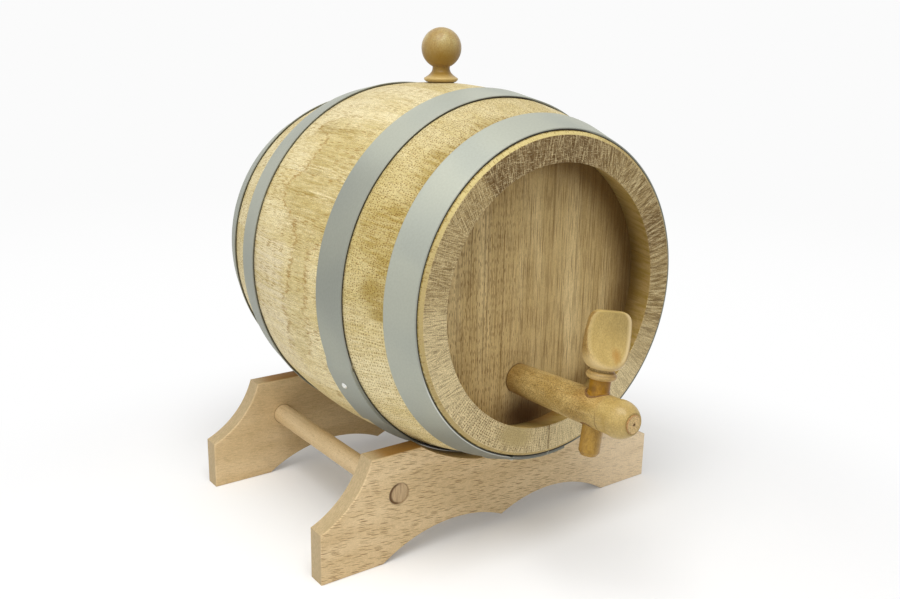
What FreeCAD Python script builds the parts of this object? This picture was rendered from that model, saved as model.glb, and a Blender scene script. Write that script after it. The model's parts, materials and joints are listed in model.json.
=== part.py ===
import FreeCAD, Part
import math
import os

from FreeCAD import Placement, Rotation, Vector

# Small oak cask with a wooden tap, lying on a beech stand. All sizes are in millimetres.
# +Z is up, -Y is the tap side and +X is the right-hand side seen from the tap side.
# The origin is on the floor, midway between the ends of the whole piece.

# cask: staves
stave_count = 16
cask_length = 235.0
bilge_radius = 116.0              # outside, at the middle of the length
end_radius = 94.2                 # outside, at either end, before the rim is eased
stave_thickness = 17.5
rim_ease = 1.5                    # chamfer round the outer rim of each end
chime_mouth_radius = 77.6         # inner edge of the end face

# cask: heads
head_recess = 22.2                # end of the staves to the outer face of a head
head_thickness = 13.0
head_board_width = 58.0           # the middle one of three boards
croze_setback = 2.0               # outer face of a head to the start of its tongue
croze_width = 6.0
croze_depth = 4.0
head_clearance = 0.1
head_pin_diameter = 6.0
head_pin_length = 26.0
head_pin_height = 35.0            # above and below the cask's axis
pin_clearance = 0.05

# cask: hoops and rivets
hoop_thickness = 1.2
hoop_clearance = 0.1
head_hoop_setback = 2.0           # end of the staves to the edge of a head hoop
head_hoop_width = 20.5
bilge_hoop_reach = 64.0           # middle of the cask to the far edge of a bilge hoop
bilge_hoop_width = 22.1
lap_length = 44.0
lap_run_out = 7.0                 # here the outer layer comes down past the end of the inner one
lap_feather = 0.06                # what is left of a step where the run-out ends
rivet_head_diameter = 4.3
rivet_head_height = 1.1
rivet_shank_diameter = 2.4
rivet_clearance = 0.05
rivet_inset = 14.0                # from a hoop's smaller edge
rivet_setback = 12.5              # from the end of the inner layer
front_head_lap_angle = 184.0      # middle of a lap, clockwise from the top, facing that end
front_bilge_lap_angle = 237.5
rear_bilge_lap_angle = 241.0
rear_head_lap_angle = 184.0

# bung
bung_top_diameter = 17.0          # tapered plug, where it leaves the stave
bung_taper = 0.06                 # loss of radius per millimetre
bung_plug_length = 21.0
bung_clearance = 0.05
bung_flange_lift = 0.3
bung_flange_diameter = 21.7
bung_flange_bevel = 1.5
bung_flare_width = 1.4            # the hollow of the flare, outside the neck
bung_flare_height = 2.9           # the hollow of the flare, above the rim of the flange
bung_neck_diameter = 11.0
bung_neck_height = 8.4            # base of the flange to the narrowest place
bung_ball_diameter = 25.3
bung_ball_height = 20.9           # base of the flange to the middle of the ball

# tap body, along its own axis from the outer face of the front head
tap_offset = -8.1                 # sideways from the cask's axis
tap_drop = 53.2                   # below the cask's axis
tap_roll = 9.4                    # degrees, leaning to the right
tap_rise = 1.5                    # degrees, nose up
tap_root_diameter = 18.4
tap_body_diameter = 20.4
tap_taper = 0.025                 # loss of radius per millimetre inside the head
tap_tail = 12.0                   # beyond the inner face of the head
tap_reach = 93.6
tap_swell_gap = 14.1              # key's axis back to where the body becomes straight
tap_nose_length = 13.0
tap_nose_diameter = 12.6
tap_nose_turn = 50.0              # degrees round the nose to the middle of its curve
tap_score_gap = 1.65              # cork sleeve to the scored ring ahead of it
tap_score_depth = 0.45
tap_bore_diameter = 6.4
tap_clearance = 0.05
end_plug_diameter = 10.3
end_plug_depth = 9.0
end_plug_proud = 0.9
end_plug_ease = 0.3
end_plug_clearance = 0.05
centre_mark_diameter = 1.5        # left in the end plug by the lathe
centre_mark_floor = 0.4           # its diameter at the bottom
centre_mark_depth = 1.6

# key of the tap: handle, tapered plug and spout turned in one piece
key_setback = 27.5                # nose of the tap back to the key's axis
key_turn = -23.0                  # degrees from the paddle standing square across the tap
key_plug_diameter = 12.1          # at the middle of the tap body
key_taper = 0.012                 # loss of radius per millimetre, downwards
key_clearance = 0.05
cork_wall = 1.4
spout_length = 26.0               # below the tap's axis
spout_bore_diameter = 5.6
spout_ease_height = 2.4
spout_ease_width = 1.7
collar_bottom = 17.1              # heights above the tap's axis
collar_height = 4.6
collar_diameter = 17.0
neck_diameter = 11.7
collar_groove = 1.4
collar_groove_diameter = 14.0
handle_belly_height = 39.5
handle_top = 55.0
handle_diameter = 26.2
handle_base_diameter = 18.0
handle_top_diameter = 22.0
handle_corner_radius = 4.6
handle_curve_steps = 4            # points along each half of its side
paddle_thickness = 4.7            # the thinnest place
paddle_dish_radius = 29.6         # the hollow that runs out towards the collar
paddle_dish_height = 45.8         # from here up the paddle's faces are flat

# stand: two cradle plates joined by two stretchers
stand_overhang = 16.0             # widest place of the cask to the outer end of a foot
stand_half_depth = 82.3           # middle of the stand to the outer face of a plate
plate_thickness = 13.0
cask_shift = 6.8                  # the cask lies this much nearer the tap side
cradle_floor = 49.2               # lowest place of the front cradle, above the floor
cradle_clearance = 0.3
shoulder_height = 69.0
shoulder_inset = 33.8             # outer end of a foot to the end of the shoulder
foot_height = 31.6
foot_length = 41.6
side_hollow = 5.6                 # depth of the hollow curve between foot and shoulder
arch_top_offset = 40.0
arch_top_height = 15.3
arch_cusp_height = 6.6
plate_ease = 0.7
stretcher_diameter = 13.2
stretcher_inset = 18.6            # end of the shoulder to the axis of a stretcher
stretcher_height = 43.2
stretcher_clearance = 0.05
stretcher_recess = 0.8
stretcher_mouth_ease = 0.5

# worked-out places and shapes
half_length = cask_length / 2
end_drop = bilge_radius - end_radius
bend_radius = (half_length**2 + end_drop**2) / (2 * end_drop)
head_face = half_length - head_recess
croze_mouth = head_face - croze_setback
croze_back = croze_mouth - croze_width
head_back = head_face - head_thickness
stave_angle = 360.0 / stave_count
whole_front = head_recess - tap_reach - end_plug_proud
cask_y = -whole_front / 2
stand_y = cask_y + cask_shift
key_distance = tap_reach - key_setback
stand_half_width = bilge_radius + stand_overhang
shoulder_half_width = stand_half_width - shoulder_inset
foot_inner = stand_half_width - foot_length
stretcher_offset = shoulder_half_width - stretcher_inset
same_place = 1e-6


def stave_outside(distance):
    """Outside radius of the cask at a distance from its middle."""
    return bilge_radius - bend_radius + math.sqrt(bend_radius**2 - distance**2)


def stave_inside(distance):
    """Inside radius of the cask between the two heads."""
    inner_bend = bend_radius - stave_thickness
    return bilge_radius - bend_radius + math.sqrt(inner_bend**2 - distance**2)


def chime_radius(distance):
    """Inside radius of the staves between a head and the end."""
    share = (distance - croze_mouth) / (half_length - croze_mouth)
    seat = stave_inside(croze_mouth)
    return seat + share * (chime_mouth_radius - seat)


def hoop_line(far, width):
    """Radii of a hoop's inner face at its far edge and at its near edge."""
    middle = far - width / 2
    bulge = stave_outside(middle) - (stave_outside(far) + stave_outside(far - width)) / 2
    lift = bulge + hoop_clearance
    return stave_outside(far) + lift, stave_outside(far - width) + lift


def hoop_outside(distance, far, width):
    """Outside radius of a hoop at a distance from the cask's middle."""
    far_radius, near_radius = hoop_line(far, width)
    share = (far - distance) / width
    return far_radius + share * (near_radius - far_radius) + hoop_thickness


def cradle_radius(distance):
    """Radius of a cradle that clears the cask at the inner face of its plate."""
    girth = stave_outside(distance)
    if distance < bilge_hoop_reach:
        girth = hoop_outside(distance, bilge_hoop_reach, bilge_hoop_width)
    return girth + cradle_clearance


front_seat = stand_half_depth - plate_thickness - cask_shift
rear_seat = stand_half_depth - plate_thickness + cask_shift
cask_z = cradle_floor + cradle_radius(front_seat)
cask_middle = Vector(0, cask_y, cask_z)
tap_place = Placement(
    Vector(tap_offset, cask_y - head_face, cask_z - tap_drop),
    Rotation(Vector(1, 0, 0), -tap_rise) * Rotation(Vector(0, 1, 0), tap_roll),
)


def line(start, end):
    return Part.LineSegment(start, end).toShape()


def arc(start, middle, end):
    return Part.Arc(start, middle, end).toShape()


def curve(points):
    """A smooth curve through the points."""
    spline = Part.BSplineCurve()
    spline.interpolate(points)
    return spline.toShape()


def outline_edges(points):
    """Straight edges that close a ring of points."""
    return [line(a, b) for a, b in zip(points, points[1:] + points[:1])]


def face_of(edges):
    return Part.Face(Part.Wire(edges))


def turned(edges, axis, angle=360.0, base=Vector(0, 0, 0)):
    """A solid turned from a half profile."""
    return face_of(edges).revolve(base, axis, angle)


def cone(bottom_radius, top_radius, bottom, top):
    """An upright cone between two heights."""
    if abs(bottom_radius - top_radius) < same_place:
        return Part.makeCylinder(bottom_radius, top - bottom, Vector(0, 0, bottom))
    return Part.makeCone(bottom_radius, top_radius, top - bottom, Vector(0, 0, bottom))


def save(node, shape):
    """Write one node; a group of separate solids goes into one compound."""
    solids = shape.Solids
    whole = solids[0] if len(solids) == 1 else Part.makeCompound(solids)
    whole.exportStep(f"parts/{node}.step")
    box = whole.BoundBox
    print(f"{node:22s} {len(solids)} solid(s)  {whole.Volume:10.1f} mm3  valid {whole.isValid()}"
          f"  z {box.ZMin:7.2f} {box.ZMax:7.2f}")


# ---- cask -----------------------------------------------------------------------------------

def rim_point(radius, y):
    """A point of a profile that is turned about the cask's own axis."""
    return Vector(0, y, radius)


def stave_profile():
    """Half section through a stave: bent outside, chimes, two grooves and bent inside."""
    far, eased = half_length, half_length - rim_ease
    edges = [
        line(rim_point(chime_mouth_radius, -far), rim_point(end_radius - rim_ease, -far)),
        line(rim_point(end_radius - rim_ease, -far), rim_point(stave_outside(eased), -eased)),
        arc(rim_point(stave_outside(eased), -eased), rim_point(bilge_radius, 0),
            rim_point(stave_outside(eased), eased)),
        line(rim_point(stave_outside(eased), eased), rim_point(end_radius - rim_ease, far)),
        line(rim_point(end_radius - rim_ease, far), rim_point(chime_mouth_radius, far)),
    ]
    groove_floor = stave_inside(croze_mouth) + croze_depth
    groove = [
        rim_point(chime_mouth_radius, far),
        rim_point(stave_inside(croze_mouth), croze_mouth),
        rim_point(groove_floor, croze_mouth),
        rim_point(groove_floor, croze_back),
        rim_point(stave_inside(croze_back), croze_back),
    ]
    mirrored = [Vector(0, -point.y, point.z) for point in reversed(groove)]
    edges += [line(a, b) for a, b in zip(groove, groove[1:])]
    edges.append(arc(groove[-1], rim_point(bilge_radius - stave_thickness, 0), mirrored[0]))
    edges += [line(a, b) for a, b in zip(mirrored, mirrored[1:])]
    return edges


def bung_cone(gap):
    """The tapered plug of the bung, widened by a gap all round."""
    top = bilge_radius + bung_flange_lift
    bottom = top - bung_plug_length
    wide = bung_top_diameter / 2 + gap
    return cone(wide - bung_taper * bung_plug_length, wide, bottom, top)


def make_staves():
    """Sixteen staves side by side; the first one lies on top and holds the bung."""
    profile = face_of(stave_profile())
    staves = []
    for index in range(stave_count):
        start = profile.copy()
        start.rotate(Vector(0, 0, 0), Vector(0, 1, 0), (index - 0.5) * stave_angle)
        stave = start.revolve(Vector(0, 0, 0), Vector(0, 1, 0), stave_angle)
        if index == 0:
            stave = stave.cut(bung_cone(bung_clearance))
        stave.translate(cask_middle)
        staves.append(stave)
    return staves


def head_disc():
    """A whole head with its tongue, outer face towards -Y, before it is sawn into boards."""
    face_radius = chime_radius(head_face) - head_clearance
    tongue = stave_inside(croze_mouth) + croze_depth - head_clearance
    front, back = -head_face, -head_back
    start, stop = -croze_mouth + head_clearance, -croze_back - head_clearance
    points = [
        rim_point(0, front),
        rim_point(face_radius, front),
        rim_point(face_radius, start),
        rim_point(tongue, start),
        rim_point(tongue, stop),
        rim_point(face_radius, stop),
        rim_point(face_radius, back),
        rim_point(0, back),
    ]
    return turned(outline_edges(points), Vector(0, 1, 0))


def head_pin_middles():
    middle_depth = -(head_face + head_back) / 2
    for side in (-1, 1):
        for level in (-1, 1):
            yield Vector(side * head_board_width / 2, middle_depth, level * head_pin_height)


def head_pins(gap):
    """The four pins across the joints of a head, or their holes when there is a gap."""
    radius = head_pin_diameter / 2 + gap
    length = head_pin_length + 2 * gap
    start = Vector(-length / 2, 0, 0)
    pins = [Part.makeCylinder(radius, length, middle + start, Vector(1, 0, 0))
            for middle in head_pin_middles()]
    return Part.makeCompound(pins)


def make_head():
    """Left, middle and right board of a head that faces -Y, and its pins."""
    disc = head_disc().cut(head_pins(pin_clearance))
    half, tall = head_board_width / 2, 2 * bilge_radius
    middle_strip = Part.makeBox(head_board_width, tall, 2 * tall, Vector(-half, -tall, -tall))
    left_strip = Part.makeBox(tall, tall, 2 * tall, Vector(-half - tall, -tall, -tall))
    right_strip = Part.makeBox(tall, tall, 2 * tall, Vector(half, -tall, -tall))
    boards = [disc.common(strip) for strip in (left_strip, middle_strip, right_strip)]
    return boards, head_pins(0)


def make_hoop(far, width, lap_angle):
    """A strip of steel closed by a riveted lap, on the -Y side of the cask, and its rivet.

    The inner end of the strip stops at the end of the lap. The outer layer comes down past
    it, which leaves a wedge-shaped gap against the staves.
    """
    far_radius, near_radius = hoop_line(far, width)
    slope = (near_radius - far_radius) / width
    near = far - width

    def layer(low, high, angle, over=0.0):
        """Section of the strip between two heights above its inner face."""
        points = [
            rim_point(far_radius - slope * over + low, -far - over),
            rim_point(near_radius + slope * over + low, -near + over),
            rim_point(near_radius + slope * over + high, -near + over),
            rim_point(far_radius - slope * over + high, -far - over),
        ]
        section = Part.Wire(outline_edges(points))
        section.rotate(Vector(0, 0, 0), Vector(0, 1, 0), angle)
        return section

    root, single, double = hoop_thickness / 2, hoop_thickness, 2 * hoop_thickness
    lap_turn = math.degrees(lap_length / near_radius)
    lap_end = lap_turn / 2
    run_end = lap_end + math.degrees(lap_run_out / near_radius)
    ring = Part.Face(layer(0, single, 0)).revolve(Vector(0, 0, 0), Vector(0, 1, 0), 360)
    outer = Part.Face(layer(root, double, -lap_end))
    outer = outer.revolve(Vector(0, 0, 0), Vector(0, 1, 0), lap_turn)
    run_out = Part.makeLoft(
        [layer(root, double, lap_end), layer(root, single + lap_feather, run_end)], True, True)
    hoop = ring.fuse([outer, run_out]).removeSplitter()
    wedge = Part.makeLoft(
        [layer(-root, single, lap_end, root), layer(-root, -lap_feather, run_end, root)],
        True, True)
    hoop = hoop.cut(wedge)

    seat_radius = far_radius + slope * rivet_inset
    outward = Vector(0, -slope, 1).normalize()
    seat = rim_point(seat_radius, -far + rivet_inset)
    grip = double * outward.z
    hole_radius = rivet_shank_diameter / 2 + rivet_clearance
    hole = Part.makeCylinder(hole_radius, 2 * grip, seat - outward * grip / 2, outward)
    rivet = make_rivet(grip)
    rivet.Placement = Placement(seat, Rotation(Vector(0, 0, 1), outward))
    rivet_turn = lap_end - math.degrees(rivet_setback / near_radius)
    for piece in (hole, rivet):
        piece.rotate(Vector(0, 0, 0), Vector(0, 1, 0), rivet_turn)
    hoop = hoop.cut(hole)
    for piece in (hoop, rivet):
        piece.rotate(Vector(0, 0, 0), Vector(0, 1, 0), lap_angle)
    return hoop, rivet


def make_rivet(grip):
    """A round-headed rivet whose shank fills both layers of the lap."""
    shank = rivet_shank_diameter / 2
    brim = rivet_head_diameter / 2
    crown = grip + rivet_head_height
    dome_radius = (brim**2 + rivet_head_height**2) / (2 * rivet_head_height)
    lean = math.asin(brim / dome_radius) / 2
    dome_middle = Vector(dome_radius * math.sin(lean), 0, crown - dome_radius * (1 - math.cos(lean)))
    edges = [
        line(Vector(0, 0, 0), Vector(shank, 0, 0)),
        line(Vector(shank, 0, 0), Vector(shank, 0, grip)),
        line(Vector(shank, 0, grip), Vector(brim, 0, grip)),
        arc(Vector(brim, 0, grip), dome_middle, Vector(0, 0, crown)),
        line(Vector(0, 0, crown), Vector(0, 0, 0)),
    ]
    return turned(edges, Vector(0, 0, 1))


def at_rear(shape):
    """Turn a piece of the front half about the upright axis, to the rear half."""
    return shape.copy().rotate(Vector(0, 0, 0), Vector(0, 0, 1), 180)


def on_cask(shape):
    return shape.copy().translate(cask_middle)


# ---- bung -----------------------------------------------------------------------------------

def make_bung():
    """Tapered plug, flared flange, neck and ball, turned in one piece."""
    base = bilge_radius + bung_flange_lift
    neck = bung_neck_diameter / 2
    flange = bung_flange_diameter / 2
    foot = flange - bung_flange_bevel
    ball = bung_ball_diameter / 2
    middle = base + bung_ball_height
    meet = middle - math.sqrt(ball**2 - neck**2)
    rim = base + bung_flange_bevel
    waist = base + bung_neck_height
    flare_middle = Vector(neck + bung_flare_width, 0, rim + bung_flare_height)
    edges = [
        line(Vector(0, 0, base), Vector(foot, 0, base)),
        line(Vector(foot, 0, base), Vector(flange, 0, rim)),
        arc(Vector(flange, 0, rim), flare_middle, Vector(neck, 0, waist)),
        line(Vector(neck, 0, waist), Vector(neck, 0, meet)),
        arc(Vector(neck, 0, meet), Vector(ball, 0, middle), Vector(0, 0, middle + ball)),
        line(Vector(0, 0, middle + ball), Vector(0, 0, base)),
    ]
    knob = turned(edges, Vector(0, 0, 1))
    return on_cask(knob.fuse(bung_cone(0)).removeSplitter())


# ---- tap ------------------------------------------------------------------------------------

def tap_point(radius, reach):
    """A point of a profile turned about the tap's axis; reach grows towards the nose."""
    return Vector(0, -reach, radius)


def tail_radius(reach):
    return tap_root_diameter / 2 + tap_taper * reach


def tap_envelope():
    """Outside of the tap body with its rounded nose, without any bore."""
    tail_end = -head_thickness - tap_tail
    body = tap_body_diameter / 2
    swell_end = key_distance - tap_swell_gap
    nose_start = tap_reach - tap_nose_length
    nose = tap_nose_diameter / 2
    turn = math.radians(tap_nose_turn)
    nose_middle = tap_point(nose + (body - nose) * math.cos(turn),
                            nose_start + tap_nose_length * math.sin(turn))
    ring = key_distance + key_plug_diameter / 2 + cork_wall + tap_score_gap
    edges = [
        line(tap_point(0, tail_end), tap_point(tail_radius(tail_end), tail_end)),
        line(tap_point(tail_radius(tail_end), tail_end), tap_point(tail_radius(0), 0)),
        line(tap_point(tail_radius(0), 0), tap_point(body, swell_end)),
        line(tap_point(body, swell_end), tap_point(body, ring - tap_score_depth)),
        line(tap_point(body, ring - tap_score_depth), tap_point(body - tap_score_depth, ring)),
        line(tap_point(body - tap_score_depth, ring), tap_point(body, ring + tap_score_depth)),
        line(tap_point(body, ring + tap_score_depth), tap_point(body, nose_start)),
        arc(tap_point(body, nose_start), nose_middle, tap_point(nose, tap_reach)),
        line(tap_point(nose, tap_reach), tap_point(0, tap_reach)),
        line(tap_point(0, tap_reach), tap_point(0, tail_end)),
    ]
    return turned(edges, Vector(0, 1, 0))


def key_plug_radius(height):
    return key_plug_diameter / 2 + key_taper * height


def key_hole(gap):
    """The upright tapered hole for the key, a gap wider than its plug all round."""
    tall = tap_body_diameter
    hole = cone(key_plug_radius(-tall) + gap, key_plug_radius(tall) + gap, -tall, tall)
    return hole.translate(Vector(0, -key_distance, 0))


def axial_bore():
    """The passage from the tail of the tap to the middle of the key."""
    length = head_thickness + tap_tail + key_distance
    return Part.makeCylinder(tap_bore_diameter / 2, length, Vector(0, -key_distance, 0),
                             Vector(0, 1, 0))


def end_plug_hole(gap):
    depth = end_plug_depth + gap
    return Part.makeCylinder(end_plug_diameter / 2 + gap, depth,
                             Vector(0, -tap_reach, 0), Vector(0, 1, 0))


def make_tap_body():
    body = tap_envelope()
    for cutter in (key_hole(cork_wall), axial_bore(), end_plug_hole(end_plug_clearance)):
        body = body.cut(cutter)
    return body


def make_cork():
    """A cork sleeve round the key, flush with the outside of the tap body."""
    sleeve = key_hole(cork_wall).cut(key_hole(key_clearance))
    return sleeve.common(tap_envelope()).cut(axial_bore())


def make_end_plug():
    """A short plug that closes the nose, with the mark of the lathe centre."""
    length = end_plug_depth + end_plug_proud
    front = Vector(0, -tap_reach - end_plug_proud, 0)
    plug = Part.makeCylinder(end_plug_diameter / 2, length, front, Vector(0, 1, 0))
    rim = [edge for edge in plug.Edges if abs(edge.CenterOfMass.y - front.y) < same_place]
    plug = plug.makeChamfer(end_plug_ease, rim)
    mark = Part.makeCone(centre_mark_diameter / 2, centre_mark_floor / 2, centre_mark_depth,
                         front, Vector(0, 1, 0))
    return plug.cut(mark)


def handle_curve():
    """Side of the handle from its base to its corner: two quarter ellipses joined at the belly."""
    belly = handle_diameter / 2

    def quarter(end_height, end_width):
        """Points from just beyond the belly to one end."""
        turn = math.acos(end_width / belly)
        rise = (end_height - handle_belly_height) / math.sin(turn)
        angles = [turn * step / handle_curve_steps for step in range(1, handle_curve_steps + 1)]
        return [Vector(belly * math.cos(angle), 0, handle_belly_height + rise * math.sin(angle))
                for angle in angles]

    base_height = collar_bottom + collar_height + collar_groove
    below = quarter(base_height, handle_base_diameter / 2)
    above = quarter(handle_top, handle_top_diameter / 2)
    return below[::-1] + [Vector(belly, 0, handle_belly_height)] + above


def key_profile():
    """Half section of the key from the spout's mouth to the flat top of the handle."""
    body = tap_body_diameter / 2
    spout = key_plug_radius(-body)
    neck = neck_diameter / 2
    collar = collar_diameter / 2
    groove = collar_groove_diameter / 2
    collar_top = collar_bottom + collar_height
    side = handle_curve()
    chain = [
        Vector(0, 0, -spout_length),
        Vector(spout - spout_ease_width, 0, -spout_length),
        Vector(spout, 0, -spout_length + spout_ease_height),
        Vector(spout, 0, -body),
        Vector(key_plug_radius(body), 0, body),
        Vector(neck, 0, body),
        Vector(neck, 0, collar_bottom),
    ]
    edges = [line(a, b) for a, b in zip(chain, chain[1:])]
    edges.append(arc(Vector(neck, 0, collar_bottom),
                     Vector(collar, 0, collar_bottom + collar_height / 2),
                     Vector(groove, 0, collar_top)))
    edges.append(line(Vector(groove, 0, collar_top), Vector(groove, 0, side[0].z)))
    edges.append(line(Vector(groove, 0, side[0].z), side[0]))
    edges.append(curve(side))
    edges.append(line(side[-1], Vector(0, 0, handle_top)))
    edges.append(line(Vector(0, 0, handle_top), Vector(0, 0, -spout_length)))
    return edges


def paddle_cutter(side):
    """What the hollow and the flat take off one side, -1 or +1, of the turned handle."""
    face = side * paddle_thickness / 2
    away = face + side * paddle_dish_radius
    low = paddle_dish_height - paddle_dish_radius
    high = handle_top + handle_corner_radius
    lean = math.radians(45)
    half_way = Vector(0, away - side * paddle_dish_radius * math.cos(lean),
                      paddle_dish_height - paddle_dish_radius * math.sin(lean))
    edges = [
        arc(Vector(0, face, paddle_dish_height), half_way, Vector(0, away, low)),
        line(Vector(0, away, low), Vector(0, away, high)),
        line(Vector(0, away, high), Vector(0, face, high)),
        line(Vector(0, face, high), Vector(0, face, paddle_dish_height)),
    ]
    cutter = face_of(edges).extrude(Vector(2 * handle_diameter, 0, 0))
    return cutter.translate(Vector(-handle_diameter, 0, 0))


def make_key():
    """Turned key, its handle dished and flattened on both sides into a paddle."""
    key = turned(key_profile(), Vector(0, 0, 1))
    rim = [edge for edge in key.Edges
           if abs(edge.CenterOfMass.z - handle_top) < same_place
           and edge.Length > handle_top_diameter]
    key = key.makeFillet(handle_corner_radius, rim)
    for side in (-1, 1):
        key = key.cut(paddle_cutter(side))
    bore = Part.makeCylinder(spout_bore_diameter / 2, spout_length, Vector(0, 0, -spout_length))
    port = Part.makeCylinder(spout_bore_diameter / 2, key_plug_diameter, Vector(0, 0, 0),
                             Vector(1, 0, 0))
    key = key.cut(bore.fuse(port))
    key.rotate(Vector(0, 0, 0), Vector(0, 0, 1), key_turn)
    return key.translate(Vector(0, -key_distance, 0))


def tap_socket():
    """The tapered hole that the tap's tail fills in the front head."""
    tall = head_thickness + tap_tail
    wide = tail_radius(tap_tail) + tap_clearance
    narrow = tail_radius(-tall) + tap_clearance
    socket = Part.makeCone(wide, narrow, tall + tap_tail, Vector(0, -tap_tail, 0),
                           Vector(0, 1, 0))
    return on_tap(socket)


def on_tap(shape):
    """Put a piece from the tap's own frame into the whole."""
    placed = shape.copy()
    placed.transformShape(tap_place.toMatrix())
    return placed


# ---- stand ----------------------------------------------------------------------------------

def plate_outline(radius):
    """Edges of a cradle plate, seen from the front, for a cradle of the given radius."""
    def corner(x, z):
        return Vector(x, 0, z)

    corner_x = math.sqrt(radius**2 - (cask_z - shoulder_height) ** 2)
    span = Vector(shoulder_half_width - stand_half_width, 0, shoulder_height - foot_height)
    inward = Vector(-span.z, 0, span.x).normalize()
    hollow = corner((stand_half_width + shoulder_half_width) / 2,
                    (foot_height + shoulder_height) / 2) + inward * side_hollow
    cusp = corner(0, arch_cusp_height)
    right = [
        arc(cusp, corner(arch_top_offset, arch_top_height), corner(foot_inner, 0)),
        line(corner(foot_inner, 0), corner(stand_half_width, 0)),
        line(corner(stand_half_width, 0), corner(stand_half_width, foot_height)),
        arc(corner(stand_half_width, foot_height), hollow,
            corner(shoulder_half_width, shoulder_height)),
        line(corner(shoulder_half_width, shoulder_height), corner(corner_x, shoulder_height)),
    ]
    left = [edge.mirror(Vector(0, 0, 0), Vector(1, 0, 0)) for edge in reversed(right)]
    cradle = arc(corner(corner_x, shoulder_height), corner(0, cask_z - radius),
                 corner(-corner_x, shoulder_height))
    return right + [cradle] + left


def make_plate(radius, outer_face):
    """A cradle plate; outer_face is the side, -1 or +1, that looks away from the stand."""
    plate = face_of(plate_outline(radius)).extrude(Vector(0, plate_thickness, 0))
    arrises = []
    for edge in plate.Edges:
        middle = edge.CenterOfMass
        on_face = min(abs(middle.y), abs(middle.y - plate_thickness)) < same_place
        on_cradle = abs(middle.x) < same_place
        if on_face and not on_cradle:
            arrises.append(edge)
    plate = plate.makeChamfer(plate_ease, arrises)
    hole_radius = stretcher_diameter / 2 + stretcher_clearance
    face_y = 0 if outer_face < 0 else plate_thickness
    for side in (-1, 1):
        x = side * stretcher_offset
        hole = Part.makeCylinder(hole_radius, plate_thickness, Vector(x, 0, stretcher_height),
                                 Vector(0, 1, 0))
        mouth = Part.makeCone(hole_radius + stretcher_mouth_ease, hole_radius,
                              stretcher_mouth_ease, Vector(x, face_y, stretcher_height),
                              Vector(0, -outer_face, 0))
        plate = plate.cut(hole.fuse(mouth))
    start = stand_y + outer_face * (stand_half_depth - plate_thickness / 2) - plate_thickness / 2
    return plate.translate(Vector(0, start, 0))


def make_stretcher(side):
    """A dowel through both plates, its ends a little below their outer faces."""
    length = 2 * (stand_half_depth - stretcher_recess)
    start = Vector(side * stretcher_offset, stand_y - length / 2, stretcher_height)
    return Part.makeCylinder(stretcher_diameter / 2, length, start, Vector(0, 1, 0))


# ---- all pieces -----------------------------------------------------------------------------

def main():
    os.makedirs("parts", exist_ok=True)
    save("front_cradle", make_plate(cradle_radius(front_seat), -1))
    save("rear_cradle", make_plate(cradle_radius(rear_seat), 1))
    save("left_stretcher", make_stretcher(-1))
    save("right_stretcher", make_stretcher(1))

    for number, stave in enumerate(make_staves(), start=1):
        save(f"stave_{number:02d}", stave)

    boards, pins = make_head()
    names = ("left", "middle", "right")
    for name, board in zip(names, boards):
        front = on_cask(board)
        if name == "middle":
            front = front.cut(tap_socket())
        save(f"front_head_{name}", front)
        save(f"rear_head_{name}", on_cask(at_rear(board)))
    save("front_head_pins", on_cask(pins))
    save("rear_head_pins", on_cask(at_rear(pins)))

    head_reach = half_length - head_hoop_setback
    hoops = (
        ("front_head_hoop", head_reach, head_hoop_width, front_head_lap_angle, False),
        ("front_bilge_hoop", bilge_hoop_reach, bilge_hoop_width, front_bilge_lap_angle, False),
        ("rear_bilge_hoop", bilge_hoop_reach, bilge_hoop_width, rear_bilge_lap_angle, True),
        ("rear_head_hoop", head_reach, head_hoop_width, rear_head_lap_angle, True),
    )
    rivets = []
    for name, reach, width, angle, rear in hoops:
        hoop, rivet = make_hoop(reach, width, angle)
        if rear:
            hoop, rivet = at_rear(hoop), at_rear(rivet)
        save(name, on_cask(hoop))
        rivets.append(on_cask(rivet))
    save("hoop_rivets", Part.makeCompound(rivets))

    save("bung", make_bung())
    save("tap_body", on_tap(make_tap_body()))
    save("tap_cork_sleeve", on_tap(make_cork()))
    save("tap_end_plug", on_tap(make_end_plug()))
    save("tap_key", on_tap(make_key()))


main()
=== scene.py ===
import json
import math

import bmesh
import bpy
import numpy as np
from mathutils import Matrix, Vector
from mathutils.geometry import tessellate_polygon


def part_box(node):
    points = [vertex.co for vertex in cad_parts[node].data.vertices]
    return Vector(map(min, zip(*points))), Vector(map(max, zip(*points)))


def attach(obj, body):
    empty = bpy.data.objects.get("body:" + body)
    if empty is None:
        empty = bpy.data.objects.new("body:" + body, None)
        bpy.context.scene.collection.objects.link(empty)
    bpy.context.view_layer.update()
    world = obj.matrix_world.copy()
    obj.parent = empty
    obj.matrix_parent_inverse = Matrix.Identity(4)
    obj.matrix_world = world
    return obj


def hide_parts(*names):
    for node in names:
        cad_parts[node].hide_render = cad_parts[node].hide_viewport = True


# A small oak cask with a wooden tap, lying on a beech stand.
# Sizes in the dictionaries are millimetres and degrees; meshes are in metres.
# +Z is up, -Y is the tap side. Angles round the cask run clockwise from the top, seen from the tap.

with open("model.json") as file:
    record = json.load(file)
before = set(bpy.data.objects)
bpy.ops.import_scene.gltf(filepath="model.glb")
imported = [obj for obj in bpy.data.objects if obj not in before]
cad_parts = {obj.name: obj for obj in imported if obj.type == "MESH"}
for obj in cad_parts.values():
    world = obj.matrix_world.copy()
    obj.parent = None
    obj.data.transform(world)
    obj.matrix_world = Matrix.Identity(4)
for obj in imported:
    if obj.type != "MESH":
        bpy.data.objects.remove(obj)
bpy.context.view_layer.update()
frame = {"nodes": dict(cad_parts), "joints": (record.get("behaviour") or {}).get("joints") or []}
nodes = frame["nodes"]
mm = 0.001
print("stage: frame loaded,", len(nodes), "CAD nodes")


# helpers for meshes

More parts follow.
